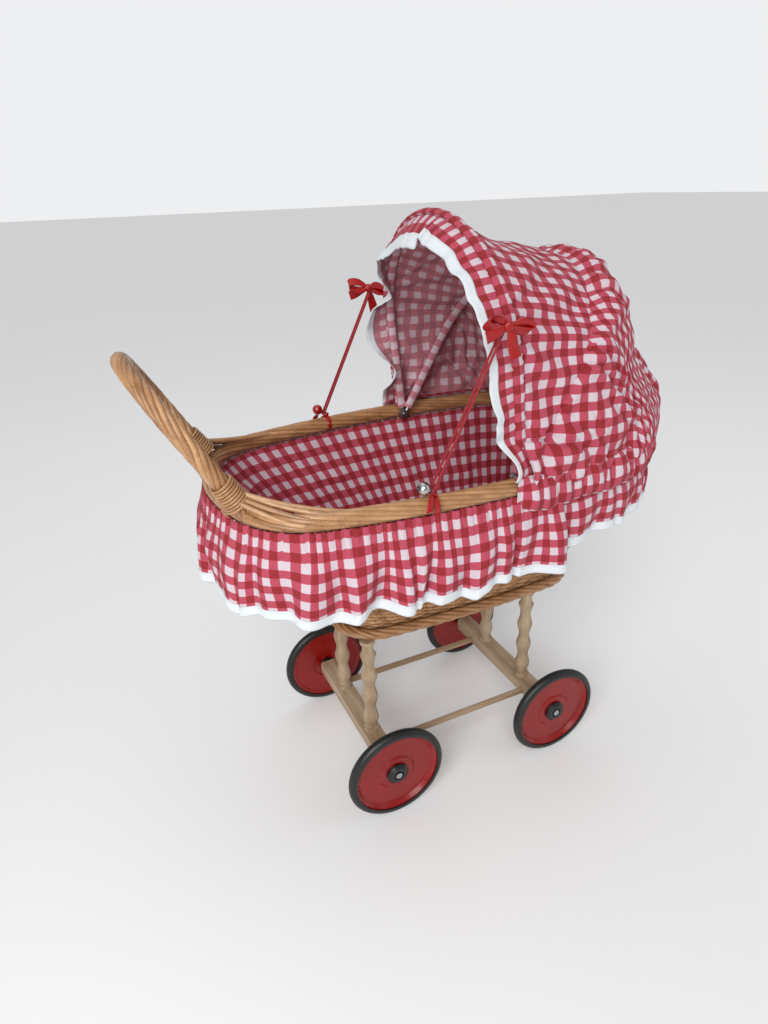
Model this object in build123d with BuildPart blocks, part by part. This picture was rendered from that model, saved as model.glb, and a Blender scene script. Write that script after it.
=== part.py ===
"""Doll's pram: a willow basket on a turned wooden chassis, with a folding cloth hood.

Millimetres, +Z up, +X the way the pram is pushed, the floor at z = 0.
The origin lies under the middle of the whole length. Right is -Y, left is +Y.
"""
import os
from math import atan2, cos, hypot, pi, radians, sin, sqrt, tan

from build123d import *

os.makedirs("parts", exist_ok=True)

# ---------------------------------------------------------------- driving dimensions
GAP = 0.3  # clearance between pieces that move past each other
SEAT = 0.05  # clearance between pieces that sit in each other

# chassis
MID_X = 18.0  # middle of the wheelbase, measured from the origin
WHEELBASE = 225.0
AXLE_Z = 60.0
BEAM_WIDE = 22.7
BEAM_HIGH = 15.4
BEAM_HALF_LENGTH = 105.3
RAIL_Y = 62.8
RAIL_RADIUS = 4.0
RAIL_SOCKET = 12.0
POST_Y = 44.3
POST_COLLAR_RADIUS = 9.0
POST_BEAD_RADIUS = 9.6
POST_NECK_RADIUS = 6.7
POST_BEADS = 4
POST_COLLAR_HIGH = 5.0

# wheels
WHEEL_Y = 113.4
TYRE_RADIUS = 60.0
TYRE_WIDE = 11.5
DISC_RADIUS = 52.0
DISC_WIDE = 8.0
DISC_WEB = 3.0
HUB_RADIUS = 13.2
HUB_SLEEVE_RADIUS = 5.5
HUB_FACE = 7.4  # hub's outer face, out from the wheel's middle plane
SCREW_SHANK_RADIUS = 2.95
SCREW_HEAD_RADIUS = 3.9
SCREW_HEAD_HIGH = 2.6
SCREW_THREAD_RADIUS = 2.4
SCREW_THREAD_LONG = 30.0

# basket
BASE_Z = 203.0  # underside of the base board and of the foot border
BOARD_THICK = 8.0
BASE_X = MID_X + 25.0
RIM_X = MID_X + 8.0
RIM_Z = 406.0
RIM_RADIUS = 9.0
FOOT_RADIUS = 6.5
WALL = 5.0
WALL_TOP = RIM_Z - RIM_RADIUS - 0.2
LINING_TOP = 394.5
LINING_THICK = 1.6

# ovals: half length, half width, handle end's end and corner radius, side radius, hood end's end and corner radius
RIM_OVAL = (259.0, 141.0, 200.0, 85.0, 900.0, 90.0, 170.0)
FOOT_OVAL = (159.5, 56.5, 70.0, 50.0, 1400.0, 70.0, 50.0)

# handle arch
HANDLE_RADIUS = 8.7
HANDLE_HALF_WIDE = 74.0
HANDLE_FOOT_X = MID_X - 236.6
HANDLE_LEAN = 30.0  # degrees back from upright
HANDLE_LONG = 156.0
WRAP_LONG = 28.0
WRAP_THICK = 2.6
TIE_Y = 52.0

# hood
PIVOT_X = MID_X + 25.0
HOOP_RADIUS = 2.5
FRONT_HOOP_LEAN = -6.5  # degrees from upright, positive towards the hood's back
REAR_HOOP_LEAN = 30.0
FRONT_HOOP_HALF = 127.5
REAR_HOOP_HALF = 121.8
FRONT_HOOP_TOP = 239.0
REAR_HOOP_TOP = 223.0
PIN_RADIUS = 1.5
EYE_RADIUS = 5.2
EYE_THICK = 4.4
LEG_FOOT = 3.4  # where a hoop's round leg starts, up from the pivot line
COVER_HALF = 130.4
CLOTH = 1.6
BRIM_DEEP = 17.0
BINDING_WIDE = 11.0

# skirts: hem height and how far the hem stands out from the rim's middle line
SKIRT_TOP = 394.0
REAR_HEM_Z = 314.0
REAR_HEM_OUT = 20.0
FRONT_HEM_Z = 328.0
FRONT_HEM_OUT = 13.0
SKIRT_TOP_OUT = 5.0
SKIRT_SPLIT_X = MID_X + 58.0

# ribbon bows and elastic loops
CORD_RADIUS = 1.2
BOW = (MID_X - 9.0, 141.0, 563.0)
BOW_OUT = 4.2  # the bow's ribbon, out from the middle of the elastic
HOOK = (MID_X - 80.0, 139.0, 421.0)
BELL_RADIUS = 6.3
HOOK_NECK_RADIUS = 1.6

AXLE_X = {"rear": MID_X - WHEELBASE / 2, "front": MID_X + WHEELBASE / 2}
SIDES = {"right": -1, "left": 1}


# ---------------------------------------------------------------- shared outlines
def grown(oval, amount):
    """The same oval, moved outwards by an even amount all round."""
    return tuple(size + amount for size in oval)


def oval_quarter(half_long, half_wide, r_end, r_corner, r_side):
    """Three tangent arcs, each (centre, radius, first angle, last angle), from an oval's end to its side."""
    end = (half_long - r_end, 0.0)
    side = (0.0, half_wide - r_side)
    span = hypot(end[0], side[1])
    along = ((r_end - r_corner) ** 2 - (r_side - r_corner) ** 2 + span**2) / (2 * span)
    across = sqrt((r_end - r_corner) ** 2 - along**2)
    if r_end < r_corner:
        across = -across
    unit = (-end[0] / span, side[1] / span)
    corner = (end[0] + unit[0] * along - unit[1] * across, unit[1] * along + unit[0] * across)
    way = 1 if r_end > r_corner else -1
    to_corner = atan2(way * corner[1], way * (corner[0] - end[0]))
    from_side = atan2(corner[1] - side[1], corner[0])
    return [
        (end, r_end, 0.0, to_corner),
        (corner, r_corner, to_corner, from_side),
        (side, r_side, from_side, radians(90)),
    ]


def oval_arcs(middle_x, z, oval):
    """Twelve tangent arcs, each (start, middle, end), of an oval lying flat at height z."""
    half_long, half_wide, r_end, r_corner, r_side, front_end, front_corner = oval
    arcs = []
    for sx, sy in ((1, 1), (-1, 1), (-1, -1), (1, -1)):
        radii = (front_end, front_corner) if sx > 0 else (r_end, r_corner)
        quarter = oval_quarter(half_long, half_wide, *radii, r_side)
        turn = quarter if sx == sy else quarter[::-1]
        for centre, radius, first, last in turn:
            angles = (first, (first + last) / 2, last)
            points = [
                (middle_x + sx * (centre[0] + radius * cos(a)), sy * (centre[1] + radius * sin(a)), z)
                for a in angles
            ]
            arcs.append(points if sx == sy else points[::-1])
    return arcs


def draw_oval(middle_x, oval):
    """Draw a filled oval in the sketch that is open."""
    with BuildLine() as outline:
        for arc in oval_arcs(middle_x, 0, oval):
            ThreePointArc(*[(x, y) for x, y, _ in arc])
    make_face(outline.edges())


def draw_arch(bottom, half_bottom, half_spring, spring, top, thick):
    """Draw a hood section in the open sketch: a band along two legs and over the top.

    The sketch's X is the pram's Y, and its Y runs up from the hood's pivot line.
    """
    with BuildLine() as outline:
        Line((half_bottom, bottom), (half_spring, spring))
        ThreePointArc((half_spring, spring), (0, top), (-half_spring, spring))
        Line((-half_spring, spring), (-half_bottom, bottom))
        Line((-half_bottom, bottom), (-half_bottom + thick, bottom))
        Line((-half_bottom + thick, bottom), (-half_spring + thick, spring))
        ThreePointArc((-half_spring + thick, spring), (0, top - thick), (half_spring - thick, spring))
        Line((half_spring - thick, spring), (half_bottom - thick, bottom))
        Line((half_bottom - thick, bottom), (half_bottom, bottom))
    make_face(outline.edges())


def hood_plane(lean, ahead=0.0):
    """The plane through the hood's pivot line, leaning back by an angle; normal to the front."""
    up = Vector(sin(radians(lean)), 0, cos(radians(lean)))
    front = Vector(-cos(radians(lean)), 0, sin(radians(lean)))
    return Plane(origin=Vector(PIVOT_X, 0, RIM_Z) + front * ahead, x_dir=(0, 1, 0), z_dir=front * -1)


def finish(builder, name):
    """Label a piece and write it."""
    builder.part.label = name
    export_step(builder.part, f"parts/{name}.step")


# ---------------------------------------------------------------- chassis
BEAM_TOP = AXLE_Z + BEAM_HIGH / 2
POST_HIGH = BASE_Z - BEAM_TOP

for name, x in AXLE_X.items():
    inward = 1 if name == "rear" else -1
    with BuildPart() as beam:
        with BuildSketch(Plane.XY.offset(AXLE_Z - BEAM_HIGH / 2)):
            with Locations((x, 0)):
                Rectangle(BEAM_WIDE, 2 * BEAM_HALF_LENGTH)
        extrude(amount=BEAM_HIGH)
        chamfer(beam.edges().filter_by(Axis.Z), length=1.5)
        for side in SIDES.values():
            with Locations(Plane((x, side * BEAM_HALF_LENGTH, AXLE_Z), z_dir=(0, side, 0))):
                Hole(SCREW_THREAD_RADIUS + SEAT, SCREW_THREAD_LONG + 1)
            face_x = x + inward * BEAM_WIDE / 2
            with Locations(Plane((face_x, side * RAIL_Y, AXLE_Z - 2), z_dir=(inward, 0, 0))):
                Hole(RAIL_RADIUS + SEAT, RAIL_SOCKET)
            with Locations((x, side * POST_Y, BEAM_TOP)):
                Hole(2.0 + SEAT, BEAM_HIGH)
    finish(beam, f"{name}_axle_beam")

for name, side in SIDES.items():
    rail_start = AXLE_X["rear"] + BEAM_WIDE / 2 - RAIL_SOCKET + 0.2
    rail_end = AXLE_X["front"] - BEAM_WIDE / 2 + RAIL_SOCKET - 0.2
    with BuildPart() as rail:
        with BuildSketch(Plane((rail_start, side * RAIL_Y, AXLE_Z - 2), z_dir=(1, 0, 0))):
            Circle(RAIL_RADIUS)
        extrude(amount=rail_end - rail_start)
    finish(rail, f"{name}_side_rail")

bead_pitch = (POST_HIGH - 2 * POST_COLLAR_HIGH) / POST_BEADS
profile = []
for step in range(2 * POST_BEADS + 1):
    radius = POST_NECK_RADIUS if step % 2 == 0 else POST_BEAD_RADIUS
    profile.append((radius, POST_COLLAR_HIGH + step * bead_pitch / 2))
SCREW_DEEP = 24.0
for end, x in AXLE_X.items():
    for hand, side in SIDES.items():
        with BuildPart() as post:
            with BuildSketch(Plane((x, side * POST_Y, BEAM_TOP), x_dir=(1, 0, 0), z_dir=(0, -1, 0))):
                with BuildLine():
                    Polyline((0, 0), (POST_COLLAR_RADIUS, 0), (POST_COLLAR_RADIUS, POST_COLLAR_HIGH), profile[0])
                    Spline(*profile, tangents=[(0, 1), (0, 1)])
                    Polyline(
                        profile[-1],
                        (POST_COLLAR_RADIUS, POST_HIGH - POST_COLLAR_HIGH),
                        (POST_COLLAR_RADIUS, POST_HIGH),
                        (0, POST_HIGH),
                        (0, 0),
                    )
                make_face()
            revolve(axis=Axis((x, side * POST_Y, 0), (0, 0, 1)))
            with Locations(Plane((x, side * POST_Y, BEAM_TOP), z_dir=(0, 0, -1))):
                Hole(2.0 + SEAT, SCREW_DEEP + 1)
            with Locations(Plane((x, side * POST_Y, BASE_Z), z_dir=(0, 0, 1))):
                Hole(2.0 + SEAT, SCREW_DEEP + 1)
        finish(post, f"{end}_{hand}_post")

post_places = [(x, side * POST_Y) for x in AXLE_X.values() for side in SIDES.values()]
foot_screw_start = BEAM_TOP - BEAM_HIGH + 3.0
with BuildPart() as foot_screws:
    with BuildSketch(Plane.XY.offset(foot_screw_start)):
        with Locations(*post_places):
            Circle(2.0)
    extrude(amount=BEAM_TOP + SCREW_DEEP - foot_screw_start)
finish(foot_screws, "post_foot_screws")

BOARD_TOP = BASE_Z + BOARD_THICK
with BuildPart() as head_screws:
    with BuildSketch(Plane.XY.offset(BASE_Z - SCREW_DEEP)):
        with Locations(*post_places):
            Circle(2.0)
    extrude(amount=SCREW_DEEP + BOARD_THICK - 3.0)
finish(head_screws, "post_head_screws")

# ---------------------------------------------------------------- wheels
HUB_IN = -(WHEEL_Y - BEAM_HALF_LENGTH) + 2.0  # hub's inner end, from the wheel's middle plane
for end, x in AXLE_X.items():
    for hand, side in SIDES.items():
        upright = Plane((x, side * WHEEL_Y, AXLE_Z), x_dir=(1, 0, 0), z_dir=(0, 0, 1))
        spin = Axis((x, side * WHEEL_Y, AXLE_Z), (0, 1, 0))
        wheel = f"{end}_{hand}"

        with BuildPart() as tyre:
            with BuildSketch(upright):
                with BuildLine():
                    Line((DISC_RADIUS + SEAT, -TYRE_WIDE / 2), (DISC_RADIUS + SEAT, TYRE_WIDE / 2))
                    Line((DISC_RADIUS + SEAT, TYRE_WIDE / 2), (55.5, TYRE_WIDE / 2))
                    ThreePointArc((55.5, TYRE_WIDE / 2), (TYRE_RADIUS, 0), (55.5, -TYRE_WIDE / 2))
                    Line((55.5, -TYRE_WIDE / 2), (DISC_RADIUS + SEAT, -TYRE_WIDE / 2))
                make_face()
            revolve(axis=spin)
        finish(tyre, f"{wheel}_tyre")

        # the dish: a rim band, a thin web set in from the outer face, a step round the hub
        out = side
        with BuildPart() as disc:
            with BuildSketch(upright):
                with BuildLine():
                    Polyline(
                        (HUB_SLEEVE_RADIUS + SEAT, out * -1.5),
                        (18.5, out * -1.5),
                        (21.0, out * -3.0),
                        (46.5, out * -3.0),
                        (48.0, out * -DISC_WIDE / 2),
                        (DISC_RADIUS, out * -DISC_WIDE / 2),
                        (DISC_RADIUS, out * DISC_WIDE / 2),
                        (50.5, out * DISC_WIDE / 2),
                        (46.5, out * (DISC_WEB - 3.0)),
                        (23.0, out * (DISC_WEB - 3.0)),
                        (20.5, out * 2.0),
                        (HUB_SLEEVE_RADIUS + SEAT, out * 2.0),
                        close=True,
                    )
                make_face()
            revolve(axis=spin)
        finish(disc, f"{wheel}_wheel_disc")

        # the black hub: a flange outside, a sleeve through the disc, a recess for the screw's head
        with BuildPart() as hub:
            with BuildSketch(upright):
                with BuildLine():
                    Polyline(
                        (SCREW_SHANK_RADIUS + SEAT, out * HUB_IN),
                        (9.0, out * HUB_IN),
                        (9.0, out * (-1.5 - SEAT)),
                        (HUB_SLEEVE_RADIUS, out * (-1.5 - SEAT)),
                        (HUB_SLEEVE_RADIUS, out * (2.0 + SEAT)),
                        (HUB_RADIUS, out * (2.0 + SEAT)),
                        (HUB_RADIUS, out * 4.6),
                        (10.0, out * HUB_FACE),
                        (6.0, out * HUB_FACE),
                        (6.0, out * (HUB_FACE - 2.4)),
                        (SCREW_SHANK_RADIUS + SEAT, out * (HUB_FACE - 2.4)),
                        close=True,
                    )
                make_face()
            revolve(axis=spin)
        finish(hub, f"{wheel}_hub")

with BuildPart() as axle_screws:
    for x in AXLE_X.values():
        for side in SIDES.values():
            with BuildSketch(Plane((x, side * (BEAM_HALF_LENGTH - SCREW_THREAD_LONG), AXLE_Z), z_dir=(0, side, 0))):
                Circle(SCREW_THREAD_RADIUS)
            extrude(amount=SCREW_THREAD_LONG)
            head_under = WHEEL_Y + HUB_FACE - 2.4 + GAP
            with BuildSketch(Plane((x, side * BEAM_HALF_LENGTH, AXLE_Z), z_dir=(0, side, 0))):
                Circle(SCREW_SHANK_RADIUS)
            extrude(amount=head_under - BEAM_HALF_LENGTH)
            with BuildSketch(Plane((x, side * head_under, AXLE_Z), z_dir=(0, side, 0))):
                Circle(SCREW_HEAD_RADIUS)
            extrude(amount=SCREW_HEAD_HIGH)
finish(axle_screws, "axle_screws")

with BuildPart() as washers:
    for x in AXLE_X.values():
        for side in SIDES.values():
            with BuildSketch(Plane((x, side * (BEAM_HALF_LENGTH + 0.1), AXLE_Z), z_dir=(0, side, 0))):
                Circle(7.0)
                Circle(SCREW_SHANK_RADIUS + SEAT, mode=Mode.SUBTRACT)
            extrude(amount=1.5)
finish(washers, "axle_washers")

# ---------------------------------------------------------------- basket
with BuildPart() as base_board:
    with BuildSketch(Plane.XY.offset(BASE_Z)):
        draw_oval(BASE_X, grown(FOOT_OVAL, -FOOT_RADIUS - 0.2))
    extrude(amount=BOARD_THICK)
    with Locations(*[(x, y, BOARD_TOP) for x, y in post_places]):
        Hole(2.0 + SEAT, BOARD_THICK)
finish(base_board, "base_board")


def border_ring(name, middle_x, z, oval, radius):
    """A round willow border that follows an oval."""
    arcs = oval_arcs(middle_x, z, oval)
    with BuildPart() as ring:
        with BuildLine():
            for arc in arcs:
                ThreePointArc(*arc)
        with BuildSketch(Plane(arcs[0][0], x_dir=(1, 0, 0), z_dir=(0, 1, 0))):
            Circle(radius)
        sweep()
    finish(ring, name)


border_ring("foot_border", BASE_X, BASE_Z + FOOT_RADIUS, FOOT_OVAL, FOOT_RADIUS)
border_ring("rim_border", RIM_X, RIM_Z, RIM_OVAL, RIM_RADIUS)

TUB_FLOOR = BOARD_TOP + 0.1
WALL_FOOT_OVAL = grown(FOOT_OVAL, -FOOT_RADIUS - 1.0)
WALL_TOP_OVAL = grown(RIM_OVAL, 2.0)


def tub(name, foot_z, top_z, inset, thick, floor):
    """An open tub between the foot and the rim; inset moves its outer face inwards."""

    def share(z):
        """How far up the basket's wall a height lies, 0 to 1."""
        return (z - TUB_FLOOR) / (WALL_TOP - TUB_FLOOR)

    def section(z, shrink):
        """Middle and oval of the wall at a height."""
        t = share(z)
        oval = tuple(a + (b - a) * t - shrink for a, b in zip(WALL_FOOT_OVAL, WALL_TOP_OVAL))
        return BASE_X + (RIM_X - BASE_X) * t, oval

    with BuildPart() as shell:
        for shrink, low, mode in ((inset, foot_z, Mode.ADD), (inset + thick, foot_z + floor, Mode.SUBTRACT)):
            for z in (low, top_z):
                with BuildSketch(Plane.XY.offset(z)):
                    draw_oval(*section(z, shrink))
            loft(ruled=True, mode=mode)
    finish(shell, name)


tub("basket_wall", TUB_FLOOR, WALL_TOP, 0.0, WALL, WALL)
tub("lining", TUB_FLOOR + WALL + 0.4, LINING_TOP, WALL + 0.6, LINING_THICK, 2.0)


def cloth_band(name, z_low, z_high, out_low, out_high, thick, keep_front, split_x=SKIRT_SPLIT_X):
    """A flared band of cloth round the rim, kept on one side of the split."""
    with BuildPart() as band:
        for shrink, mode in ((0.0, Mode.ADD), (thick, Mode.SUBTRACT)):
            for z, out in ((z_low, out_low), (z_high, out_high)):
                with BuildSketch(Plane.XY.offset(z)):
                    draw_oval(RIM_X, grown(RIM_OVAL, out - shrink))
            loft(ruled=True, mode=mode)
        keep = Keep.TOP if keep_front else Keep.BOTTOM
        shift = 0.5 if keep_front else -0.5
        split(bisect_by=Plane.YZ.offset(split_x + shift), keep=keep)
    finish(band, name)


def skirt(name, hem_z, hem_out, keep_front):
    """A skirt and the white binding sewn along its hem."""
    slope = (hem_out - SKIRT_TOP_OUT) / (SKIRT_TOP - hem_z)
    binding_top = hem_z + BINDING_WIDE
    out = hem_out - slope * BINDING_WIDE
    cloth_band(name, binding_top + 0.1, SKIRT_TOP, out, SKIRT_TOP_OUT, 2.0, keep_front)
    cloth_band(f"{name}_binding", hem_z, binding_top, hem_out, out, 2.0, keep_front)


skirt("rear_skirt", REAR_HEM_Z, REAR_HEM_OUT, False)
skirt("front_skirt", FRONT_HEM_Z, FRONT_HEM_OUT, True)

# ---------------------------------------------------------------- handle
HANDLE_PLANE = Plane(
    origin=(HANDLE_FOOT_X, 0, RIM_Z),
    x_dir=(0, 1, 0),
    z_dir=(cos(radians(HANDLE_LEAN)), 0, sin(radians(HANDLE_LEAN))),
)
spring = HANDLE_LONG - HANDLE_HALF_WIDE
with BuildPart() as handle:
    with BuildLine(HANDLE_PLANE):
        Line((-HANDLE_HALF_WIDE, 0), (-HANDLE_HALF_WIDE, spring))
        ThreePointArc((-HANDLE_HALF_WIDE, spring), (0, HANDLE_LONG), (HANDLE_HALF_WIDE, spring))
        Line((HANDLE_HALF_WIDE, spring), (HANDLE_HALF_WIDE, 0))
    handle_up = HANDLE_PLANE.y_dir
    with BuildSketch(Plane(HANDLE_PLANE.from_local_coords((-HANDLE_HALF_WIDE, 0)), z_dir=handle_up)):
        Circle(HANDLE_RADIUS)
    sweep()
finish(handle, "handle_arch")

for hand, side in SIDES.items():
    foot = HANDLE_PLANE.from_local_coords((side * HANDLE_HALF_WIDE, RIM_RADIUS + 6.0))
    with BuildPart() as wrap:
        for z, extra in ((0.0, 3.0), (WRAP_LONG, 0.0)):
            with BuildSketch(Plane(Vector(foot) + handle_up * z, z_dir=handle_up)):
                Circle(HANDLE_RADIUS + WRAP_THICK + extra)
        loft()
        with BuildSketch(Plane(foot, z_dir=handle_up)):
            Circle(HANDLE_RADIUS + SEAT)
        extrude(amount=WRAP_LONG, mode=Mode.SUBTRACT)
    finish(wrap, f"{hand}_handle_wrap")

    end_radius = RIM_OVAL[2]
    tie_angle = atan2(TIE_Y, sqrt(end_radius**2 - TIE_Y**2))
    tie_x = RIM_X - (RIM_OVAL[0] - end_radius) - end_radius * cos(tie_angle)
    along = Vector(sin(tie_angle), side * cos(tie_angle), 0)
    with BuildPart() as tie:
        with BuildSketch(Plane(Vector(tie_x, side * TIE_Y, RIM_Z) - along * 3.0, z_dir=along)):
            Circle(RIM_RADIUS + 2.2)
            Circle(RIM_RADIUS + 0.2, mode=Mode.SUBTRACT)
        extrude(amount=6.0)
    finish(tie, f"{hand}_handle_tie")

# ---------------------------------------------------------------- hood frame
def hoop(name, lean, half, top):
    """A bent cane hoop with a flat eye at each foot."""
    plane = hood_plane(lean)
    with BuildPart() as rod:
        with BuildLine(plane):
            Line((-half, LEG_FOOT), (-half, top - half))
            ThreePointArc((-half, top - half), (0, top), (half, top - half))
            Line((half, top - half), (half, LEG_FOOT))
        with BuildSketch(Plane(plane.from_local_coords((-half, LEG_FOOT)), z_dir=plane.y_dir)):
            Circle(HOOP_RADIUS)
        sweep()
        for side in SIDES.values():
            with BuildSketch(Plane((PIVOT_X, side * half - EYE_THICK / 2, RIM_Z), z_dir=(0, 1, 0))):
                Circle(EYE_RADIUS)
            extrude(amount=EYE_THICK)
            with BuildSketch(Plane((PIVOT_X, side * half - 5, RIM_Z), z_dir=(0, 1, 0))):
                Circle(PIN_RADIUS + SEAT)
            extrude(amount=10, mode=Mode.SUBTRACT)
    finish(rod, name)


hoop("front_hoop", FRONT_HOOP_LEAN, FRONT_HOOP_HALF, FRONT_HOOP_TOP)
hoop("rear_hoop", REAR_HOOP_LEAN, REAR_HOOP_HALF, REAR_HOOP_TOP)

with BuildPart() as pins:
    for side in SIDES.values():
        inner = REAR_HOOP_HALF - HOOP_RADIUS - GAP - 1.6
        with BuildSketch(Plane((PIVOT_X, side * inner, RIM_Z), z_dir=(0, side, 0))):
            Circle(PIN_RADIUS)
        extrude(amount=138.0 - inner)
        with BuildSketch(Plane((PIVOT_X, side * inner, RIM_Z), z_dir=(0, side, 0))):
            Circle(3.2)
        extrude(amount=1.6)
finish(pins, "hoop_pivot_pins")

# ---------------------------------------------------------------- hood cloth
# Each hood section: lean, foot of the band, half width at foot and spring, spring height, top.
COVER_FRONT = (FRONT_HOOP_LEAN, 22.0, COVER_HALF + CLOTH, COVER_HALF + CLOTH, 111.5, 244.0)
COVER_BACK = (REAR_HOOP_LEAN, 22.0, COVER_HALF + CLOTH, COVER_HALF + CLOTH, 98.0, 229.0)
BACK_TOP = (REAR_HOOP_LEAN + 1.0, 22.0, COVER_HALF + CLOTH, COVER_HALF + CLOTH, 98.0, 229.0)
BACK_MIDDLE = (58.0, 22.0, 151.0, 142.0, 110.0, 252.0)
BACK_FOOT = (90.0, 22.0, 154.5, 152.0, 128.0, 262.0)


def cloth_shell(name, sections):
    """A shell of cloth through several hood sections."""
    with BuildPart() as shell:
        for first, second in zip(sections, sections[1:]):
            for lean, bottom, half_bottom, half_spring, spring_high, top in (first, second):
                with BuildSketch(hood_plane(lean)):
                    draw_arch(bottom, half_bottom, half_spring, spring_high, top, CLOTH)
            loft(ruled=True)
    finish(shell, name)


cloth_shell("hood_cover", (COVER_FRONT, COVER_BACK))
cloth_shell("hood_back", (BACK_TOP, BACK_MIDDLE, BACK_FOOT))

# the gathered hem that grips the rim from outside, round the hood's end
cloth_band("hood_hem", RIM_Z - 22.0, RIM_Z - 0.4, 13.0, 12.5, 2.0, True, PIVOT_X + 22.0)

for name, start, deep, grow in (("hood_brim", 0.4, BRIM_DEEP, 0.0), ("brim_binding", 0.5 + BRIM_DEEP, BINDING_WIDE, 0.2)):
    with BuildPart() as brim:
        with BuildSketch(hood_plane(FRONT_HOOP_LEAN, start)):
            draw_arch(16.0, COVER_HALF + CLOTH, COVER_HALF + CLOTH + 4.0, 111.5, 246.0 + grow, CLOTH)
        extrude(amount=-deep)
    finish(brim, name)

# ---------------------------------------------------------------- bows, elastic loops and their hooks
for hand, side in SIDES.items():
    bow_x, bow_out, bow_z = BOW
    with BuildPart() as bow:
        face = Plane((bow_x, side * (bow_out + BOW_OUT + 3.0), bow_z), x_dir=(1, 0, 0), z_dir=(0, -1, 0))
        with BuildSketch(face.offset(0.0 if side > 0 else -3.0)):
            with Locations((-9.0, 3.0)):
                Ellipse(9.5, 5.0, rotation=-14)
            with Locations((9.5, 0.5)):
                Ellipse(9.5, 5.0, rotation=10)
            with BuildLine():
                Polyline((-3, 0), (3, 0), (9, -23), (1, -24), close=True)
            make_face()
            with BuildLine():
                Polyline((-3, 2), (2, -2), (-15, -8), (-16, -2), close=True)
            make_face()
        extrude(amount=3.0)
        with BuildSketch(Plane((bow_x, side * (bow_out - 4.4), bow_z), z_dir=(0, side, 0))):
            Circle(3.6)
        extrude(amount=BOW_OUT + 4.4 + 4.0)
    finish(bow, f"{hand}_ribbon_bow")

    hook = Vector(HOOK[0], side * HOOK[1], HOOK[2])
    knot = Vector(bow_x, side * bow_out, bow_z)
    pull = (knot - hook).normalized()
    away = Vector(-pull.Z, 0, pull.X).normalized()
    lateral = pull.cross(away).normalized()

    # the loop: down one strand, round the hook's neck, up the other strand
    turn_radius = HOOK_NECK_RADIUS + CORD_RADIUS + 0.2
    start = knot - pull * 5.2
    back = hook - pull * turn_radius
    route = [start + lateral * 2.4, back + lateral * turn_radius, back - lateral * turn_radius, start - lateral * 2.4]
    radii = []
    for a, b, c in zip(route, route[1:], route[2:]):
        half_turn = radians((b - a).get_angle(c - b)) / 2
        radii.append(0.45 * min((b - a).length, (c - b).length) / tan(half_turn))
    with BuildPart() as cord:
        with BuildLine() as cord_path:
            FilletPolyline(*route, radius=radii)
        with BuildSketch(Plane(route[0], z_dir=(route[1] - route[0]))):
            Circle(CORD_RADIUS)
        sweep()
    loop_long = sum(edge.length for edge in cord_path.edges())
    fullness = cord.part.volume / (loop_long * pi * CORD_RADIUS**2)
    print(hand, "elastic loop: radii", radii, "length", loop_long, "volume over section", fullness)
    finish(cord, f"{hand}_elastic_loop")

    # the hook: a neck that stands on a knot, with a bell or a bead at its head
    charm = "bell" if hand == "right" else "bead"
    with BuildPart() as hook_part:
        with BuildSketch(Plane(hook - away * 2.0, z_dir=away)):
            Circle(HOOK_NECK_RADIUS)
        extrude(amount=7.0)
        with Locations(hook + away * (3.0 + BELL_RADIUS)):
            Sphere(BELL_RADIUS)
        if charm == "bell":
            with Locations(hook + away * (3.0 + 2 * BELL_RADIUS)):
                Box(1.6, 20.0, 5.0, mode=Mode.SUBTRACT)
    finish(hook_part, charm)

    # ribbon wound round the rim under the hook, and its knot
    with BuildPart() as tie:
        wound = Plane((hook.X + 1.0, side * 138.5, RIM_Z), z_dir=(1, side * 0.09, 0))
        with BuildSketch(wound.offset(-2.5)):
            Circle(RIM_RADIUS + 1.9)
            Circle(RIM_RADIUS + 0.7, mode=Mode.SUBTRACT)
        extrude(amount=5.0)
        with Locations(hook - away * 5.4):
            Sphere(3.2)
    finish(tie, f"{charm}_ribbon_tie")
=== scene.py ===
"""Willow doll's pram: the visual model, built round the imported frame.

Lengths inside the builders are millimetres; meshes are written in metres. +X is the hood's end, away
from the handle, +Z is up, and right is -Y.
"""
from __future__ import annotations

import logging
import math
from dataclasses import astuple, dataclass, field
from enum import Enum

import bpy
import numpy as np
from mathutils import Matrix, Vector


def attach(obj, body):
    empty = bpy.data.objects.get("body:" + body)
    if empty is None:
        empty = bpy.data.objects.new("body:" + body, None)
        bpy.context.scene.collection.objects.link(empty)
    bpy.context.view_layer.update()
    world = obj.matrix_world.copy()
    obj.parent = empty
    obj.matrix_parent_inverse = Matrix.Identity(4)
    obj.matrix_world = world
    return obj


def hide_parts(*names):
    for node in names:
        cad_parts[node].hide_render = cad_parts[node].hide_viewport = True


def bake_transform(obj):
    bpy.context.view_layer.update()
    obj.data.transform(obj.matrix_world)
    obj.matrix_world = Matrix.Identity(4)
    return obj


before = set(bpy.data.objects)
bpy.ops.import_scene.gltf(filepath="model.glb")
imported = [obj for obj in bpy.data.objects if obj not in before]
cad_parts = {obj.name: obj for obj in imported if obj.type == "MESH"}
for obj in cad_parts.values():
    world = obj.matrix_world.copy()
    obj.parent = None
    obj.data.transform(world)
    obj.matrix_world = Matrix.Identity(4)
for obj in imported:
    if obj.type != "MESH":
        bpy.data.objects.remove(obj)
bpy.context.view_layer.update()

log = logging.getLogger("pram")
MM = 0.001
TAU = 2 * math.pi
SIDES = {"right": -1, "left": 1}
CHARMS = {"right": "bell", "left": "bead"}

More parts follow.
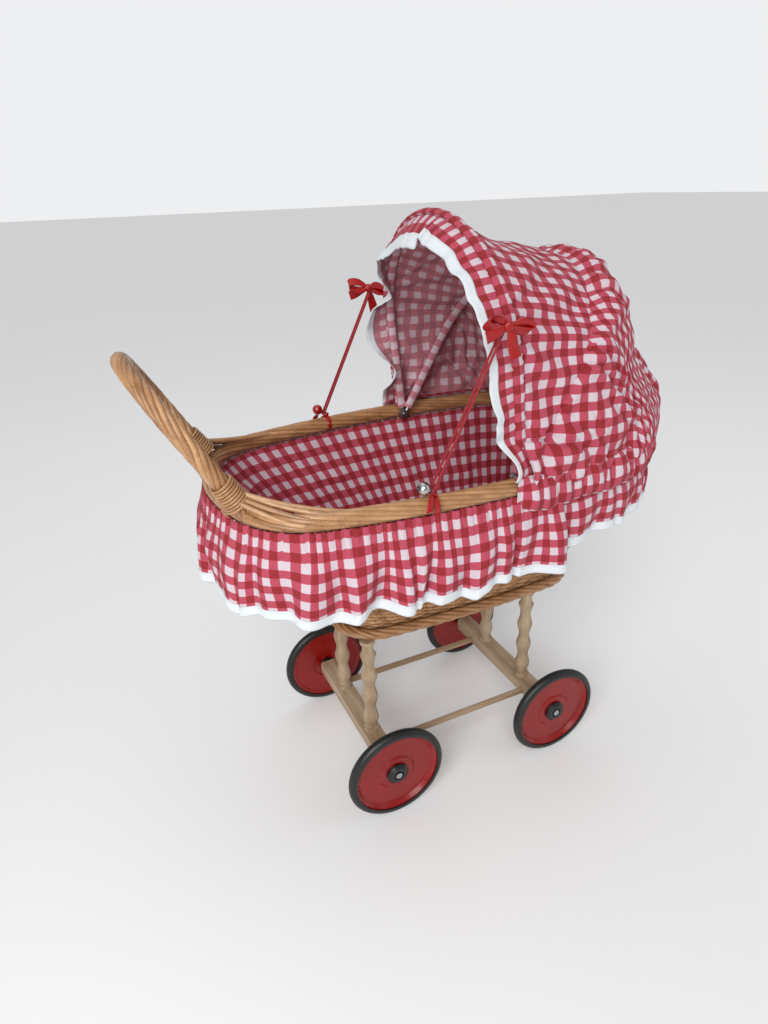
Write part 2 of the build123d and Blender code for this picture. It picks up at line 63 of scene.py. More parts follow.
# ------------------------------------------------------------------ shared sizes, millimetres
MID_X = 18.0  # middle of the wheelbase
RIM_X = MID_X + 8.0
RIM_Z = 406.0
RIM_RADIUS = 9.0
BASE_X = MID_X + 25.0
TUB_FLOOR = 211.1
WALL_TOP = 396.8
PIVOT = np.array([MID_X + 25.0, 0.0, RIM_Z])
FRONT_LEAN = -6.5
REAR_LEAN = 30.0
FOOT_ROPE_Z = 209.5
CHECK = 9.0  # side of one gingham square
CLOTH = 0.9  # the gingham's thickness
KNOT = (MID_X - 9.0, 141.0, 563.0)  # the left bow, in front of the front hoop
HOOK = (MID_X - 80.0, 139.0, 421.0)  # the left hook on the rim, which the elastic goes round


# ------------------------------------------------------------------ nodes
def add(tree: bpy.types.NodeTree, kind: str, *values: object, out: object = 0, settings: dict | None = None,
        **inputs: object) -> bpy.types.NodeSocket | None:
    """Add a node to a tree with its settings, values and links.

    Args:
        tree: The shader or geometry tree.
        kind: The node's type, with its operation, data type or mode after a colon.
        values: Values or output sockets for the inputs in order.
        out: Which output to return, by number or name.
        settings: More attributes of the node.
        inputs: Values or sockets by input name with spaces as underscores, or iN for input N.

    Returns:
        The chosen output, whose .node is the new node, or None for a node that has none.
    """
    kind, _, choice = kind.partition(":")
    node = tree.nodes.new(kind)
    settings = dict(settings or {})
    if choice:
        settings[next(key for key in ("operation", "data_type", "mode") if hasattr(node, key))] = choice
    for key, value in settings.items():
        setattr(node, key, value)
    named = {f"i{number}": value for number, value in enumerate(values)} | inputs
    for key, value in named.items():
        by_number = key[0] == "i" and key[1:].isdigit()
        socket = node.inputs[int(key[1:])] if by_number else node.inputs[key.replace("_", " ")]
        if isinstance(value, bpy.types.NodeSocket):
            tree.links.new(value, socket)
        else:
            socket.default_value = value
    return node.outputs[out] if len(node.outputs) else None


def linear(colour: str) -> tuple[float, float, float, float]:
    """Turn an sRGB hex colour into linear RGBA.

    Args:
        colour: The colour, as in "#rrggbb".

    Returns:
        Its linear red, green, blue and an alpha of one.
    """
    parts = [int(colour[i : i + 2], 16) / 255 for i in (1, 3, 5)]
    light = [c / 12.92 if c <= 0.04045 else ((c + 0.055) / 1.055) ** 2.4 for c in parts]
    return (*light, 1.0)


class Surface:
    """A material being made: its tree and its Principled shader."""

    def __init__(self, name: str, **shader: object) -> None:
        """Start a material.

        Args:
            name: The material's name.
            shader: Constant inputs of the shader, with spaces as underscores.
        """
        self.material = bpy.data.materials.new(name)
        self.material.use_nodes = True
        self.tree = self.material.node_tree
        self.tree.nodes.clear()
        shaded = add(self.tree, "ShaderNodeBsdfPrincipled", **shader)
        self.shader = shaded.node
        add(self.tree, "ShaderNodeOutputMaterial", shaded)

    def finish(self, colour: object, height: object, depth: float, strength: float) -> bpy.types.Material:
        """Link the colour and the relief.

        Args:
            colour: The socket with the base colour.
            height: The socket with the relief's height.
            depth: The relief in millimetres.
            strength: The bump's strength.

        Returns:
            The finished material.
        """
        self.tree.links.new(colour, self.shader.inputs["Base Color"])
        relief = add(self.tree, "ShaderNodeBump", Strength=strength, Distance=depth * MM, Height=height)
        self.tree.links.new(relief, self.shader.inputs["Normal"])
        return self.material


# ------------------------------------------------------------------ finishes
class Along(Enum):
    """The direction that a piece's grain runs in."""

    X = (1.0, 0.0, 0.0)
    Y = (0.0, 1.0, 0.0)
    Z = (0.0, 0.0, 1.0)


@dataclass(frozen=True)
class Beech:
    """Plain turned beech, sanded and unvarnished: pale and fine grained, dull with a faint satin."""

    pale: str = "#bba78d"
    dark: str = "#94795d"
    grain_mm: float = 1.6

    def make(self, along: Along) -> bpy.types.Material:
        """Make the wood.

        Args:
            along: The direction of the grain.

        Returns:
            The material.
        """
        look = Surface(f"beech_along_{along.name.lower()}", Roughness=0.55, IOR=1.5, Specular_IOR_Level=0.35)
        tree = look.tree
        place = add(tree, "ShaderNodeTexCoord", out="Object")
        fine = 1 / (self.grain_mm * MM)
        scale = tuple(fine * (0.045 if part else 1.0) for part in along.value)
        mapped = add(tree, "ShaderNodeMapping", Vector=place, Scale=scale)
        grain = add(tree, "ShaderNodeTexNoise", Vector=mapped, Scale=1.0, Detail=5.0, Roughness=0.62)
        broad = add(tree, "ShaderNodeTexNoise", Vector=mapped, Scale=0.12, Detail=2.0)
        fibre = add(tree, "ShaderNodeMath:MULTIPLY", grain, 0.75)
        streak = add(tree, "ShaderNodeMath:MULTIPLY_ADD", broad, 0.9, fibre)
        share = add(tree, "ShaderNodeMapRange", streak, 0.62, 1.02)
        colour = add(tree, "ShaderNodeMix:RGBA", share, i6=linear(self.pale), i7=linear(self.dark), out=2)
        return look.finish(colour, grain, 0.12, 0.35)


@dataclass(frozen=True)
class Willow:
    """Peeled willow rods under clear varnish: honey brown, each rod its own shade, with a wet gloss."""

    pale: str = "#cf9f70"
    deep: str = "#86562b"
    stain: str = "#583517"

    def make(self, name: str = "varnished_willow", shade: float = 0.0) -> bpy.types.Material:
        """Make the willow.

        Args:
            name: The material's name.
            shade: How much darker and duller than the outer rods: painted shade for rods deep in a bundle or a
                wall.

        Returns:
            The material.
        """
        look = Surface(name, Roughness=0.36 + shade * 0.3, IOR=1.5, Coat_Weight=0.45 - shade * 0.4,
                       Coat_Roughness=0.16)
        tree = look.tree
        rod = add(tree, "ShaderNodeAttribute", settings={"attribute_name": "rod"}, out="Fac")
        run = add(tree, "ShaderNodeAttribute", settings={"attribute_name": "run"}, out="Fac")
        place = add(tree, "ShaderNodeTexCoord", out="Object")
        # streaks run with the rod: about 40 mm long and 1 mm wide
        across = add(tree, "ShaderNodeTexNoise", Vector=place, Scale=620.0, Detail=2.0)
        long = add(tree, "ShaderNodeMath:MULTIPLY", run, 26.0)
        own = add(tree, "ShaderNodeMath:MULTIPLY", rod, 9.0)
        lane = add(tree, "ShaderNodeCombineXYZ", long, own, across)
        streak = add(tree, "ShaderNodeTexNoise", Vector=lane, Scale=2.2, Detail=3.0)
        # the shade input paints the rod darker and its stains heavier: painted shade for rods deep in a bundle
        # or a wall
        part = add(tree, "ShaderNodeMath:MULTIPLY_ADD", streak, 1.3, -0.5 + shade * 0.35)
        share = add(tree, "ShaderNodeMath:MULTIPLY_ADD", rod, 0.55, part)
        colour = add(tree, "ShaderNodeMix:RGBA", share, i6=linear(self.pale), i7=linear(self.deep), out=2)
        spots = add(tree, "ShaderNodeTexNoise", Vector=place, Scale=95.0, Detail=4.0)
        knots = add(tree, "ShaderNodeMapRange", spots, 0.58, 0.78, 0.0, 0.55 + shade * 0.3)
        stained = add(tree, "ShaderNodeMix:RGBA", knots, i6=colour, i7=linear(self.stain), out=2)
        return look.finish(stained, streak, 0.25, 0.4)


@dataclass(frozen=True)
class Gingham:
    """Plain-woven cotton gingham: red, half-tone and white squares, matt with a faint fuzz."""

    red: str = "#8e0a13"
    half: str = "#b44055"
    white: str = "#d0c2c9"
    yarn_mm: float = 0.9  # about three times the real yarn, so that the weave shows

    def make(self, name: str, painted_light: float = 0.0) -> bpy.types.Material:
        """Make the cloth.

        Args:
            name: The material's name.
            painted_light: How far the side is painted paler, as painted light coming through the cloth.

        Returns:
            The material.
        """
        look = Surface(name, Roughness=0.82, IOR=1.45, Sheen_Weight=0.05, Sheen_Roughness=0.5)
        tree = look.tree
        uv = add(tree, "ShaderNodeUVMap", settings={"uv_map": "UVMap"})
        # the checks wander by half a millimetre, as hand-cut cloth does
        wander = add(tree, "ShaderNodeTexNoise", Vector=uv, Scale=60.0, Detail=2.0, out="Color")
        shifted = add(tree, "ShaderNodeVectorMath:MULTIPLY_ADD", wander, (0.0014, 0.0014, 0.0), uv)
        split = add(tree, "ShaderNodeSeparateXYZ", shifted).node.outputs
        bands, threads = [], []
        for axis in (split[0], split[1]):
            checks = add(tree, "ShaderNodeMath:MULTIPLY", axis, 1 / (2 * CHECK * MM))
            phase = add(tree, "ShaderNodeMath:FRACT", checks)
            ramp = add(tree, "ShaderNodeMath:ABSOLUTE", add(tree, "ShaderNodeMath:SUBTRACT", phase, 0.5))
            bands.append(add(tree, "ShaderNodeMapRange", ramp, 0.232, 0.268))
            angle = add(tree, "ShaderNodeMath:MULTIPLY", axis, TAU / (self.yarn_mm * MM))
            threads.append(add(tree, "ShaderNodeMath:SINE", angle))
        count = add(tree, "ShaderNodeMath:ADD", bands[0], bands[1])
        first = add(tree, "ShaderNodeMath:MINIMUM", count, 1.0)
        second = add(tree, "ShaderNodeMath:SUBTRACT", count, 1.0)
        low = add(tree, "ShaderNodeMix:RGBA", first, i6=linear(self.white), i7=linear(self.half), out=2)
        colour = add(tree, "ShaderNodeMix:RGBA", second, i6=low, i7=linear(self.red), out=2)
        weave = add(tree, "ShaderNodeMath:MULTIPLY", threads[0], threads[1])
        tone = add(tree, "ShaderNodeTexNoise", Vector=uv, Scale=900.0, Detail=3.0)
        slub = add(tree, "ShaderNodeMapRange", tone, 0.3, 0.8, 0.0, 0.1)
        speckled = add(tree, "ShaderNodeMix:RGBA", slub, i6=colour, i7=linear("#d59aa6"), out=2)
        # the wrong side is painted paler towards #dcc0c8: painted light, as if lit through the cloth
        painted_light_mix = add(tree, "ShaderNodeMix:RGBA", painted_light, i6=speckled, i7=linear("#dcc0c8"), out=2)
        return look.finish(painted_light_mix, weave, 0.12, 0.35)


@dataclass(frozen=True)
class Cotton:
    """Bias binding of bleached cotton: flat cool white with a faint rib across it."""

    white: str = "#dfe4e8"

    def make(self) -> bpy.types.Material:
        """Make the binding's cloth.

        Returns:
            The material.
        """
        look = Surface("bleached_cotton_binding", Roughness=0.8, IOR=1.45, Sheen_Weight=0.2)
        tree = look.tree
        uv = add(tree, "ShaderNodeUVMap", settings={"uv_map": "UVMap"})
        tone = add(tree, "ShaderNodeTexNoise", Vector=uv, Scale=700.0, Detail=3.0)
        soil = add(tree, "ShaderNodeMath:MULTIPLY", tone, 0.3)
        colour = add(tree, "ShaderNodeMix:RGBA", soil, i6=linear(self.white), i7=linear("#c3c9d0"), out=2)
        along = add(tree, "ShaderNodeSeparateXYZ", uv)
        rib = add(tree, "ShaderNodeMath:SINE", add(tree, "ShaderNodeMath:MULTIPLY", along, TAU / (1.2 * MM)))
        return look.finish(colour, rib, 0.08, 0.3)


@dataclass(frozen=True)
class Hard:
    """A moulded, painted or plated finish: one colour, a little mottled, with fine handling marks."""

    name: str
    colour: str
    worn: str
    roughness: float
    metallic: float = 0.0
    coat: float = 0.0
    texture_mm: float = 3.0

    def make(self) -> bpy.types.Material:
        """Make the finish.

        Returns:
            The material.
        """
        look = Surface(self.name, Metallic=self.metallic, Coat_Weight=self.coat, Coat_Roughness=0.06, IOR=1.5)
        tree = look.tree
        place = add(tree, "ShaderNodeTexCoord", out="Object")
        scale = 1 / (self.texture_mm * MM)
        marks = add(tree, "ShaderNodeTexNoise", Vector=place, Scale=scale, Detail=6.0, Roughness=0.7)
        broad = add(tree, "ShaderNodeTexNoise", Vector=place, Scale=scale / 12, Detail=2.0)
        share = add(tree, "ShaderNodeMapRange", broad, 0.35, 0.75, 0.0, 0.6)
        colour = add(tree, "ShaderNodeMix:RGBA", share, i6=linear(self.colour), i7=linear(self.worn), out=2)
        dull, bright = self.roughness * 1.35, self.roughness * 0.75
        rough = add(tree, "ShaderNodeMapRange", marks, 0.3, 0.75, bright, dull)
        tree.links.new(rough, look.shader.inputs["Roughness"])
        return look.finish(colour, marks, 0.02, 0.25)


@dataclass(frozen=True)
class Satin:
    """Woven satin ribbon: saturated red with a long soft highlight across its width."""

    bright: str = "#bb0f0c"
    deep: str = "#80080a"

    def make(self) -> bpy.types.Material:
        """Make the ribbon's satin.

        Returns:
            The material.
        """
        look = Surface("red_satin_ribbon", Roughness=0.34, IOR=1.5, Sheen_Weight=0.08, Sheen_Roughness=0.3,
                       Anisotropic=0.5)
        tree = look.tree
        uv = add(tree, "ShaderNodeUVMap", settings={"uv_map": "UVMap"})
        drawn = add(tree, "ShaderNodeMapping", Vector=uv, Scale=(2600.0, 120.0, 1.0))
        yarn = add(tree, "ShaderNodeTexNoise", Vector=drawn, Scale=1.0, Detail=3.0)
        colour = add(tree, "ShaderNodeMix:RGBA", yarn, i6=linear(self.bright), i7=linear(self.deep), out=2)
        return look.finish(colour, yarn, 0.06, 0.3)


@dataclass(frozen=True)
class BraidedElastic:
    """Round elastic under a braided red cover: matt, with a fine diagonal braid."""

    red: str = "#b01824"
    turns: float = 150.0  # diamonds along the elastic's length, about 2 mm each

    def make(self) -> bpy.types.Material:
        """Make the elastic's cover.

        Returns:
            The material.
        """
        look = Surface("braided_red_elastic", Roughness=0.7, IOR=1.45, Sheen_Weight=0.2)
        tree = look.tree
        split = add(tree, "ShaderNodeSeparateXYZ", add(tree, "ShaderNodeTexCoord", out="UV")).node.outputs
        along = add(tree, "ShaderNodeMath:MULTIPLY", split[0], self.turns * TAU)
        around = add(tree, "ShaderNodeMath:MULTIPLY", split[1], 4 * TAU)
        waves = [
            add(tree, "ShaderNodeMath:SINE", add(tree, f"ShaderNodeMath:{way}", along, around))
            for way in ("ADD", "SUBTRACT")
        ]
        braid = add(tree, "ShaderNodeMath:MAXIMUM", waves[0], waves[1])
        # the braid's grooves are painted darker towards #7a0d16 and its crests redder: painted shade in the
        # grooves
        share = add(tree, "ShaderNodeMath:MULTIPLY_ADD", braid, 0.25, 0.4)
        colour = add(tree, "ShaderNodeMix:RGBA", share, i6=linear("#7a0d16"), i7=linear(self.red), out=2)
        return look.finish(colour, braid, 0.2, 0.5)


# ------------------------------------------------------------------ outlines and waves
@dataclass(frozen=True)
class Oval:
    """A flat oval of twelve tangent arcs, blunt at the handle's end and rounder at the hood's end."""

    middle_x: float
    half_long: float
    half_wide: float
    r_end: float
    r_corner: float
    r_side: float
    hood_end: float
    hood_corner: float

    def quarter(self, r_end: float, r_corner: float) -> list[tuple[float, float, float, float, float]]:
        """Return three arcs from an end to the side.

        Args:
            r_end: The end's radius.
            r_corner: The corner's radius.

        Returns:
            Each arc's centre x, centre y, radius, first angle and last angle.
        """
        end = (self.half_long - r_end, 0.0)
        side = (0.0, self.half_wide - self.r_side)
        span = math.hypot(end[0], side[1])
        way = 1 if r_end > r_corner else -1
        along = ((r_end - r_corner) ** 2 - (self.r_side - r_corner) ** 2 + span**2) / (2 * span)
        across = way * math.sqrt((r_end - r_corner) ** 2 - along**2)
        unit = (-end[0] / span, side[1] / span)
        corner = (end[0] + unit[0] * along - unit[1] * across, unit[1] * along + unit[0] * across)
        turn = math.atan2(way * corner[1], way * (corner[0] - end[0]))
        level = math.atan2(corner[1] - side[1], corner[0])
        return [
            (*end, r_end, 0.0, turn),
            (*corner, r_corner, turn, level),
            (*side, self.r_side, level, TAU / 4),
        ]

    def arcs(self) -> np.ndarray:
        """Return the arcs all the way round.

        Returns:
            Rows of each arc's centre x, centre y, radius, first angle and last angle.
        """
        rows = []
        for sx, sy, base, way in ((1, 1, 0, 1), (-1, 1, TAU / 2, -1), (-1, -1, TAU / 2, 1), (1, -1, TAU, -1)):
            radii = (self.hood_end, self.hood_corner) if sx > 0 else (self.r_end, self.r_corner)
            for x, y, r, a, b in self.quarter(*radii)[::way]:
                first, last = (a, b) if way == 1 else (b, a)
                rows.append((sx * x, sy * y, r, base + way * first, base + way * last))
        return np.array(rows)

    def at(self, share: np.ndarray, out: np.ndarray | float = 0.0) -> tuple[np.ndarray, np.ndarray]:
        """Return points and outward normals.

        Args:
            share: Shares of the way round, from the front end towards the left side.
            out: How far outside the oval the points lie.

        Returns:
            Two arrays of x and y: the points and the unit normals.
        """
        rows = self.arcs()
        lengths = rows[:, 2] * np.abs(rows[:, 4] - rows[:, 3])
        marks = np.concatenate([[0.0], np.cumsum(lengths)])
        run = np.mod(np.asarray(share, float), 1.0) * marks[-1]
        index = np.clip(np.searchsorted(marks, run, side="right") - 1, 0, len(rows) - 1)
        part = (run - marks[index]) / lengths[index]
        angle = rows[index, 3] + (rows[index, 4] - rows[index, 3]) * part
        normal = np.stack([np.cos(angle), np.sin(angle)], -1)
        reach = (rows[index, 2] + out)[..., None]
        points = rows[index, :2] + normal * reach + np.array([self.middle_x, 0.0])
        return points, normal

    def length(self) -> float:
        """Return the length of the way round."""
        rows = self.arcs()
        return float((rows[:, 2] * np.abs(rows[:, 4] - rows[:, 3])).sum())

    def share_at_x(self, x: float) -> float:
        """Find where the oval's left side passes a given x.

        Args:
            x: The place along the pram.

        Returns:
            The share of the way round.
        """
        shares = np.linspace(0.0, 0.5, 2001)
        points, _ = self.at(shares)
        return float(shares[np.argmin(np.abs(points[:, 0] - x))])


RIM = Oval(RIM_X, 259.0, 141.0, 200.0, 85.0, 900.0, 90.0, 170.0)
FOOT = Oval(BASE_X, 159.5, 56.5, 70.0, 50.0, 1400.0, 70.0, 50.0)


def grown(oval: Oval, out: float) -> Oval:
    """Return the oval moved outwards evenly."""
    middle_x, *sizes = astuple(oval)
    return Oval(middle_x, *(size + out for size in sizes))


WALL_FOOT = grown(FOOT, -7.5)
WALL_RIM = grown(RIM, 2.0)


def ripple(run: np.ndarray, length: float, seed: int, drift: float = 1.1) -> np.ndarray:
    """Return an uneven wave of unit height along a run, like gathered cloth.

    Args:
        run: Distances along the cloth.
        length: The wave's average length.
        seed: Number that fixes the unevenness.
        drift: How far the wave wanders from even, in radians.

    Returns:
        The wave at each distance.
    """
    rng = np.random.default_rng(seed)
    phase = TAU * run / length + rng.uniform(0, TAU)
    for times in (2.7, 4.3, 7.9):
        phase = phase + drift * np.sin(TAU * run / (length * times) + rng.uniform(0, TAU))
    swell = 1 + 0.35 * np.sin(TAU * run / (length * 3.4) + rng.uniform(0, TAU))
    return (np.sin(phase) + 0.22 * np.sin(2 * phase + 1.0)) * swell / 1.2


def cloud(points: np.ndarray, length: float, seed: int) -> np.ndarray:
    """Return smooth noise of about unit height over points.

    Args:
        points: The points, of two or three coordinates each.
        length: The noise's average length.
        seed: Number that fixes the noise.

    Returns:
        The noise at each point.
    """
    rng = np.random.default_rng(seed)
    total = np.zeros(points.shape[:-1])
    for _ in range(7):
        way = rng.normal(size=3)[: points.shape[-1]]
        way *= rng.uniform(0.6, 1.5) / np.linalg.norm(way)
        total = total + np.sin(points @ way * TAU / length + rng.uniform(0, TAU))
    return total / 2.6


def smooth(value: np.ndarray | float, low: float, high: float) -> np.ndarray:
    """Return 0 below low, 1 above high and a smooth step between."""
    t = np.clip((np.asarray(value, float) - low) / (high - low), 0, 1)
    return t * t * (3 - 2 * t)


# ------------------------------------------------------------------ meshes
def mesh_object(name: str, points: np.ndarray, faces: list,
                materials: list[bpy.types.Material]) -> bpy.types.Object:
    """Make a smooth-shaded mesh object.

    Args:
        name: The piece's name.
        points: Places in millimetres, one row each.
        faces: Tuples of point numbers.
        materials: The materials in slot order.

    Returns:
        The new object.
    """
    mesh = bpy.data.meshes.new(name)
    mesh.from_pydata((np.asarray(points, float).reshape(-1, 3) * MM).tolist(), [], faces)
    for material in materials:
        mesh.materials.append(material)
    mesh.shade_smooth()
    mesh.update()
    piece = bpy.data.objects.new(name, mesh)
    bpy.context.scene.collection.objects.link(piece)
    return piece


def grid_object(name: str, points: np.ndarray, uv: np.ndarray, materials: list[bpy.types.Material],
                loop: bool = False, capped: bool = False) -> bpy.types.Object:
    """Make a sheet from a grid of points.

    Args:
        name: The piece's name.
        points: Rows by columns by 3, in millimetres. Faces look to columns cross rows.
        uv: Rows by columns by 2, in millimetres of flat cloth; one column more when the sheet is a loop.
        materials: The materials in slot order.
        loop: Whether the last column joins the first.
        capped: Whether a face closes the first row and the last.

    Returns:
        The new object.
    """
    rows, columns = points.shape[:2]
    faces, corners = [], []
    for r in range(rows - 1):
        for c in range(columns if loop else columns - 1):
            d = (c + 1) % columns
            faces.append((r * columns + c, r * columns + d, (r + 1) * columns + d, (r + 1) * columns + c))
            corners += [uv[r, c], uv[r, c + 1], uv[r + 1, c + 1], uv[r + 1, c]]
    if capped:
        faces += [tuple(range(columns))[::-1], tuple(range((rows - 1) * columns, rows * columns))]
        corners += [(0.0, 0.0)] * (2 * columns)
    piece = mesh_object(name, points, faces, materials)
    layer = piece.data.uv_layers.new(name="UVMap")
    layer.data.foreach_set("uv", (np.array(corners) * MM).astype(np.float32).ravel())
    return piece


def on_cloth(along: np.ndarray, across: np.ndarray) -> np.ndarray:
    """Return places on the flat cloth from distances along and across it."""
    return np.stack(np.broadcast_arrays(along, across), -1)


def thicken(piece: bpy.types.Object, thick: float, second_material: bool = False) -> bpy.types.Object:
    """Give a sheet its thickness, inwards from its face, and make that part of the mesh.

    Args:
        piece: The sheet.
        thick: Its thickness.
        second_material: Whether the inner side takes the second material.

    Returns:
        The same piece.
    """
    solid = piece.modifiers.new("thickness", "SOLIDIFY")
    solid.thickness = thick * MM
    solid.offset = -1.0
    solid.use_even_offset = False
    if second_material:
        solid.material_offset = 1
        solid.material_offset_rim = 0
    return baked(piece)


def baked(piece: bpy.types.Object) -> bpy.types.Object:
    """Turn an object's evaluated shape into its own plain mesh, without modifiers.

    Args:
        piece: The object.

    Returns:
        The same object.
    """
    bpy.context.view_layer.update()
    graph = bpy.context.evaluated_depsgraph_get()
    mesh = bpy.data.meshes.new_from_object(piece.evaluated_get(graph), preserve_all_data_layers=True,
                                           depsgraph=graph)
    old = piece.data
    piece.modifiers.clear()
    piece.data = mesh
    mesh.name = piece.name
    if isinstance(old, bpy.types.Mesh) and old.users == 0:
        bpy.data.meshes.remove(old)
    return piece


def arc_length(line: np.ndarray) -> np.ndarray:
    """Return the running length along a line of points."""
    steps = np.linalg.norm(np.diff(line, axis=0), axis=-1)
    return np.cumsum(np.concatenate([[0.0], steps]))


def put(piece: bpy.types.Object, body: str, node: str) -> None:
    """Put a piece on a body, in place of a CAD shape.

    Args:
        piece: The piece.
        body: The body that it rides on.
        node: The CAD shape that it replaces.
    """
    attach(piece, body)
    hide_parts(node)
    log.info("%s: %d faces", piece.name, len(piece.data.polygons))


# ------------------------------------------------------------------ rod work by geometry nodes
@dataclass(frozen=True)
class RodWork:
    """Rods wound about guide lines by a node tree; every rod gets its own shade and its run."""

    name: str = "rod_work"

    def tree(self) -> bpy.types.NodeTree:
        """Build the tree once.

        Returns:
            The node tree, with its sizes as named inputs.
        """
        if self.name in bpy.data.node_groups:
            return bpy.data.node_groups[self.name]
        tree = bpy.data.node_groups.new(self.name, "GeometryNodeTree")
        kinds = {"Geometry": "Geometry", "Rods": "Int", "Pitch": "Float", "Start Radius": "Float",
                 "End Radius": "Float", "Rod Radius": "Float", "Step": "Float", "Sides": "Int",
                 "Flatness": "Float", "Seed": "Int", "Material": "Material"}
        for label, kind in kinds.items():
            tree.interface.new_socket(label, in_out="INPUT", socket_type=f"NodeSocket{kind}")
        tree.interface.new_socket("Geometry", in_out="OUTPUT", socket_type="NodeSocketGeometry")
        given = add(tree, "NodeGroupInput").node.outputs
        lines = add(tree, "GeometryNodeMeshToCurve", given["Geometry"])
        upright = add(tree, "GeometryNodeSetCurveNormal", lines)
        upright.node.mode = "Z_UP"
        even = add(tree, "GeometryNodeResampleCurve:LENGTH", upright, Length=given["Step"])
        many = add(tree, "GeometryNodeDuplicateElements", even, settings={"domain": "SPLINE"},
                   Amount=given["Rods"])
        run = add(tree, "GeometryNodeSplineParameter", out="Length")
        share = add(tree, "ShaderNodeMath:DIVIDE", many.node.outputs["Duplicate Index"], given["Rods"])
        turns = add(tree, "ShaderNodeMath:DIVIDE", run, given["Pitch"])
        angle = add(tree, "ShaderNodeMath:MULTIPLY", add(tree, "ShaderNodeMath:ADD", turns, share), TAU)
        normal = add(tree, "GeometryNodeInputNormal")
        tangent = add(tree, "GeometryNodeInputTangent")
        cross = add(tree, "ShaderNodeVectorMath:CROSS_PRODUCT", tangent, normal)
        far = add(tree, "ShaderNodeMapRange", run.node.outputs["Factor"], 0.0, 1.0, given["Start Radius"],
                  given["End Radius"])
        parts = []
        for function, way in (("COSINE", normal), ("SINE", cross)):
            amount = add(tree, "ShaderNodeMath:MULTIPLY", add(tree, f"ShaderNodeMath:{function}", angle), far)
            parts.append(add(tree, "ShaderNodeVectorMath:SCALE", way, Scale=amount))
        offset = add(tree, "ShaderNodeVectorMath:ADD", *parts)
        wound = add(tree, "GeometryNodeSetPosition", many, Offset=offset)
        shade = add(tree, "FunctionNodeRandomValue:FLOAT", ID=add(tree, "GeometryNodeInputIndex"),
                    Seed=given["Seed"], out=1)
        stored = wound
        for domain, label, value in (("CURVE", "rod", shade), ("POINT", "run", run)):
            stored = add(tree, "GeometryNodeStoreNamedAttribute:FLOAT", stored, settings={"domain": domain},
                         Name=label, Value=value)
        ring = add(tree, "GeometryNodeCurvePrimitiveCircle", Resolution=given["Sides"],
                   Radius=given["Rod Radius"])
        squash = add(tree, "ShaderNodeCombineXYZ", 1.0, given["Flatness"], 1.0)
        oval = add(tree, "GeometryNodeTransform", ring, Scale=squash)
        swept = add(tree, "GeometryNodeCurveToMesh", stored, oval, Fill_Caps=True)
        soft = add(tree, "GeometryNodeSetShadeSmooth", swept)
        real = add(tree, "GeometryNodeRealizeInstances", soft)
        dressed = add(tree, "GeometryNodeSetMaterial", real, Material=given["Material"])
        add(tree, "NodeGroupOutput", dressed)
        return tree

    def wind(self, name: str, guides: list[tuple[np.ndarray, bool]], material: bpy.types.Material,
             **sizes: float) -> bpy.types.Object:
        """Wind rods about guide lines.

        Args:
            name: The piece's name.
            guides: Lines in millimetres, each with whether it closes on itself.
            material: The rods' material.
            sizes: Inputs of the tree by name with spaces as underscores; lengths in millimetres.

        Returns:
            The rods as a plain mesh piece.
        """
        points, edges = [], []
        for line, closed in guides:
            first = len(points)
            points += (np.asarray(line, float) * MM).tolist()
            edges += [(i, i + 1) for i in range(first, len(points) - 1)]
            if closed:
                edges.append((len(points) - 1, first))
        mesh = bpy.data.meshes.new(name)
        mesh.from_pydata(points, edges, [])
        piece = bpy.data.objects.new(name, mesh)
        bpy.context.scene.collection.objects.link(piece)
        modifier = piece.modifiers.new("rods", "NODES")
        modifier.node_group = self.tree()
        values = {"Rods": 1, "Pitch": 100.0, "Start_Radius": 0.0, "Rod_Radius": 2.0, "Step": 3.0, "Sides": 8,
                  "Flatness": 1.0, "Seed": 1} | sizes
        values.setdefault("End_Radius", values["Start_Radius"])
        for item in modifier.node_group.interface.items_tree:
            label = item.name.replace(" ", "_")
            if item.in_out == "INPUT" and label in values:
                whole = item.socket_type == "NodeSocketInt"
                length = label in ("Pitch", "Start_Radius", "End_Radius", "Rod_Radius", "Step")
                value = values[label] * (MM if length else 1)
                modifier[item.identifier] = int(value) if whole else float(value)
            elif item.in_out == "INPUT" and label == "Material":
                modifier[item.identifier] = material
        return baked(piece)


RODS = RodWork()


def stitches(name: str, seam: np.ndarray, thread: bpy.types.Material, long: float = 2.3,
             pitch: float = 3.7) -> bpy.types.Object:
    """Sew a row of stitches along a seam.

    Args:
        name: The piece's name.
        seam: The seam's line, dense points on the cloth's face.
        thread: The thread's material.
        long: One stitch's length.
        pitch: The distance from one stitch to the next.

    Returns:
        The stitches.
    """
    run = arc_length(seam)
    starts = np.arange(pitch, run[-1] - pitch, pitch)
    guides = []
    for start in starts:
        marks = start + np.array([0.0, 0.5, 1.0]) * long
        guides.append((np.column_stack([np.interp(marks, run, seam[:, k]) for k in range(3)]), False))
    return RODS.wind(name, guides, thread, Rod_Radius=0.3, Step=long / 2, Sides=4, Seed=2)


